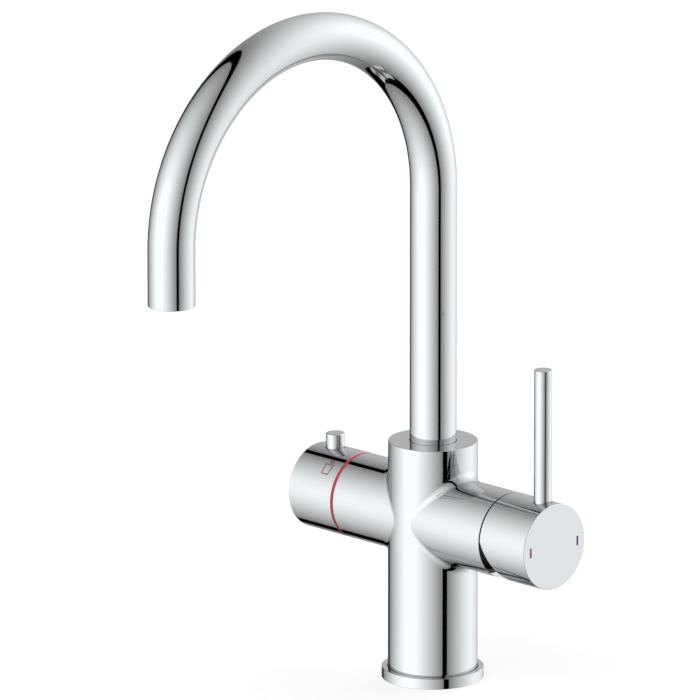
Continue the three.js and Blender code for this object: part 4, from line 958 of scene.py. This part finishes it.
def silicone_finish():
    """Milky silicone that lets some light in."""
    finish = Finish("clear_silicone", (0.82, 0.81, 0.76), PLASTIC, 0.45)
    finish.put(0.3, finish.shader["Subsurface Weight"])
    finish.put(2 * MM, finish.shader["Subsurface Scale"])
    finish.tint(160, 3, (0.78, 0.77, 0.72), (0.86, 0.85, 0.8))
    finish.gloss(300, 3, 0.38, 0.52)
    return finish.material


def ceramic_finish():
    """White ceramic, lapped smooth."""
    finish = Finish("lapped_ceramic", (0.9, 0.89, 0.86), PLASTIC, 0.18)
    finish.tint(180, 3, (0.87, 0.86, 0.83), (0.92, 0.91, 0.88))
    finish.gloss(600, 3, 0.12, 0.24)
    return finish.material


def nylon_finish():
    """Off-white nylon, moulded."""
    finish = Finish("moulded_nylon", (0.84, 0.83, 0.79), PLASTIC, 0.5)
    finish.tint(120, 3, (0.8, 0.79, 0.75), (0.87, 0.86, 0.82))
    finish.gloss(350, 3, 0.42, 0.58)
    finish.relief(1500, 3, 0.2, FINE_GRAIN)
    return finish.material


def black_plastic_finish():
    """Black plastic, moulded with a fine grain."""
    finish = Finish("black_moulding", (0.03, 0.031, 0.034), PLASTIC, 0.42)
    finish.tint(200, 3, (0.024, 0.025, 0.028), (0.045, 0.046, 0.05))
    finish.gloss(500, 3, 0.34, 0.52)
    finish.relief(2200, 3, 0.3, FINE_GRAIN)
    return finish.material


def dress(material, *names):
    """The inner pieces keep their solids, and get their material here."""
    for name in names:
        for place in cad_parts[name].material_slots:
            place.material = material


# ---------------------------------------------------------------- studio
def direction(azimuth, elevation):
    """The direction at an azimuth from +X and an elevation, in degrees."""
    azimuth, elevation = math.radians(azimuth), math.radians(elevation)
    flat = math.cos(elevation)
    return Vector((flat * math.cos(azimuth), flat * math.sin(azimuth), math.sin(elevation)))


class World(Nodes):
    """The world's nodes, with short calls for light that depends on where one looks."""

    def __init__(self):
        world = bpy.data.worlds.new("studio")
        bpy.context.scene.world = world
        super().__init__(world)
        self.towards = self.add("TexCoord").outputs["Generated"]

    def angle_above(self, azimuth, elevation):
        """How far one looks above the plane square to the direction given, in degrees."""
        dot = self.add("VectorMath")
        dot.operation = "DOT_PRODUCT"
        self.put(self.towards, dot.inputs[0])
        self.put(direction(azimuth, elevation), dot.inputs[1])
        return self.math("DEGREES", self.math("ARCSINE", dot.outputs["Value"]))

    def rise(self, value, start, full):
        """From 0 at start to 1 at full, and even between them."""
        return self.add("MapRange", Value=value, From_Min=start, From_Max=full).outputs["Result"]


def studio_world():
    """White behind the object. Chrome mirrors the two sources, and matt pieces see an even sky."""
    world = World()
    sources = [
        world.rise(world.angle_above(azimuth, elevation), start, full)
        for azimuth, elevation, start, full in (NEAR_SOURCE, FAR_SOURCE)
    ]
    rims = [
        world.rise(world.angle_above(azimuth, elevation), start - SEAM_SOFT / 2, start + SEAM_SOFT / 2)
        for azimuth, elevation, start in (NEAR_RIM, FAR_RIM)
    ]
    light = world.math("MULTIPLY", world.math("MAXIMUM", *sources), world.math("MAXIMUM", *rims))
    light = world.math("MULTIPLY", light, STUDIO_GAIN)
    path = world.add("LightPath").outputs
    again = world.math("MAXIMUM", world.math("SUBTRACT", path["Ray Depth"], FIRST_BOUNCE), 0)
    mirrored = world.math("MULTIPLY", light, world.math("POWER", BOUNCE_LEVEL, again))
    sharp = world.math("MAXIMUM", path["Is Glossy Ray"], path["Is Transmission Ray"])
    soft = world.math("MULTIPLY", world.math("SUBTRACT", 1, sharp), SKY_LEVEL)
    around = world.math("MULTIPLY_ADD", mirrored, sharp, soft)
    seen = world.math("MAXIMUM", around, path["Is Camera Ray"])
    world.put(seen, world.nodes["Background"].inputs["Color"])


def lamp(name, azimuth, elevation):
    """A wide soft lamp that lights matt surfaces to a share of their written colour."""
    light = bpy.data.lights.new(name, "SUN")
    light.energy = math.pi * LAMP_LEVEL
    light.angle = LAMP_WIDTH
    sun = bpy.data.objects.new(name, light)
    place = direction(azimuth, elevation)
    sun.rotation_euler = place.to_track_quat("Z", "Y").to_euler()
    sun.location = place * LAMP_DISTANCE
    sun.visible_glossy = False
    bpy.context.scene.collection.objects.link(sun)


def floor():
    """A pale floor that glows a little for the camera, so that it is white and keeps a soft shadow."""
    mesh = bpy.data.meshes.new("floor")
    half = FLOOR_SIZE / 2
    rim = [(-half, -half, 0), (half, -half, 0), (half, half, 0), (-half, half, 0)]
    mesh.from_pydata(rim, [], [(0, 1, 2, 3)])
    piece = bpy.data.objects.new("floor", mesh)
    bpy.context.scene.collection.objects.link(piece)
    piece.location.z = -HAIR
    material = bpy.data.materials.new("pale_floor")
    nodes = Nodes(material)
    nodes.nodes.clear()
    matt = nodes.add("BsdfDiffuse", Color=(FLOOR_GREY, FLOOR_GREY, FLOOR_GREY, 1))
    seen = nodes.add("LightPath").outputs["Is Camera Ray"]
    glow = nodes.add("Emission", Strength=nodes.math("MULTIPLY", seen, FLOOR_GLOW))
    both = nodes.add("AddShader")
    nodes.put(matt.outputs["BSDF"], both.inputs[0])
    nodes.put(glow.outputs["Emission"], both.inputs[1])
    nodes.add("OutputMaterial", Surface=both.outputs["Shader"])
    mesh.materials.append(material)
    piece.visible_glossy = False


def camera():
    """A camera far off with a long lens, at the height and side that the tap is seen from."""
    right = direction(VIEW_AZIMUTH, 0)
    back = direction(VIEW_AZIMUTH - 90, VIEW_ELEVATION)
    up = back.cross(right)
    lens = bpy.data.cameras.new("camera")
    lens.lens = LENS
    lens.sensor_width = SENSOR
    lens.clip_start, lens.clip_end = CLIP_START, CLIP_END
    eye = bpy.data.objects.new("camera", lens)
    place = AIM_RIGHT * right + AIM_UP * up + VIEW_DISTANCE * back
    eye.matrix_world = Matrix.Translation(place) @ Matrix((right, up, back)).transposed().to_4x4()
    bpy.context.scene.collection.objects.link(eye)
    bpy.context.scene.camera = eye
    bpy.context.scene.view_settings.view_transform = "Standard"


# ---------------------------------------------------------------- the whole
camera()
studio_world()
lamp("key_lamp", *KEY_LAMP)
lamp("fill_lamp", *FILL_LAMP)
floor()

CHROME = chrome_finish()
# Dull plate darkened as painted shade, for bores, hollows and the faces in the seams.
DULL_PLATE_PAINTED_SHADE = dull_painted_shade_finish()
STEEL = steel_finish()
RED = enamel_finish("red_enamel", (0.64, 0.045, 0.056), (0.57, 0.037, 0.046))
DARK_RED = enamel_finish("dark_red_enamel", (0.44, 0.09, 0.115), (0.38, 0.075, 0.1))
BROWN_RED = enamel_finish("brown_red_enamel", (0.3, 0.085, 0.095), (0.26, 0.07, 0.08))
BLUE = enamel_finish("blue_enamel", (0.075, 0.07, 0.32), (0.06, 0.055, 0.28))

body_casting(CHROME, DULL_PLATE_PAINTED_SHADE)
base_ring(CHROME, DULL_PLATE_PAINTED_SHADE)
spout_tube(CHROME)
cartridge_cover(CHROME)
mixer_cap(CHROME, DULL_PLATE_PAINTED_SHADE)
mixer_lever(CHROME)
boiling_cap(CHROME, DULL_PLATE_PAINTED_SHADE)
red_ring(RED)
safety_peg(CHROME)
mark("hot_mark", -MARK_Y, DARK_RED)
mark("cold_mark", MARK_Y, BLUE)
cup_sign(BROWN_RED)
peg_spring(STEEL)

dress(
    brass_finish(), "inlet_manifold", "boiling_nipple", "spout_foot", "cartridge_nut", "mixer_stem",
    "valve_stem", "valve_body",
)
dress(
    STEEL, "spout_stop_screw", "aerator_housing", "stem_pin", "lock_collar", "button_clip", "handle_screw",
)
dress(
    rubber_finish(), "base_gasket", "manifold_gasket", "spout_seal_upper", "spout_seal_lower",
    "aerator_washer", "cartridge_seal", "valve_seal", "stem_seal",
)
dress(silicone_finish(), "boiling_hose")
dress(ceramic_finish(), "fixed_disc", "moving_disc", "valve_fixed_disc", "valve_moving_disc")
dress(nylon_finish(), "spout_glide_ring", "cartridge_base", "cartridge_housing", "stem_carrier")
dress(black_plastic_finish(), "aerator_insert")
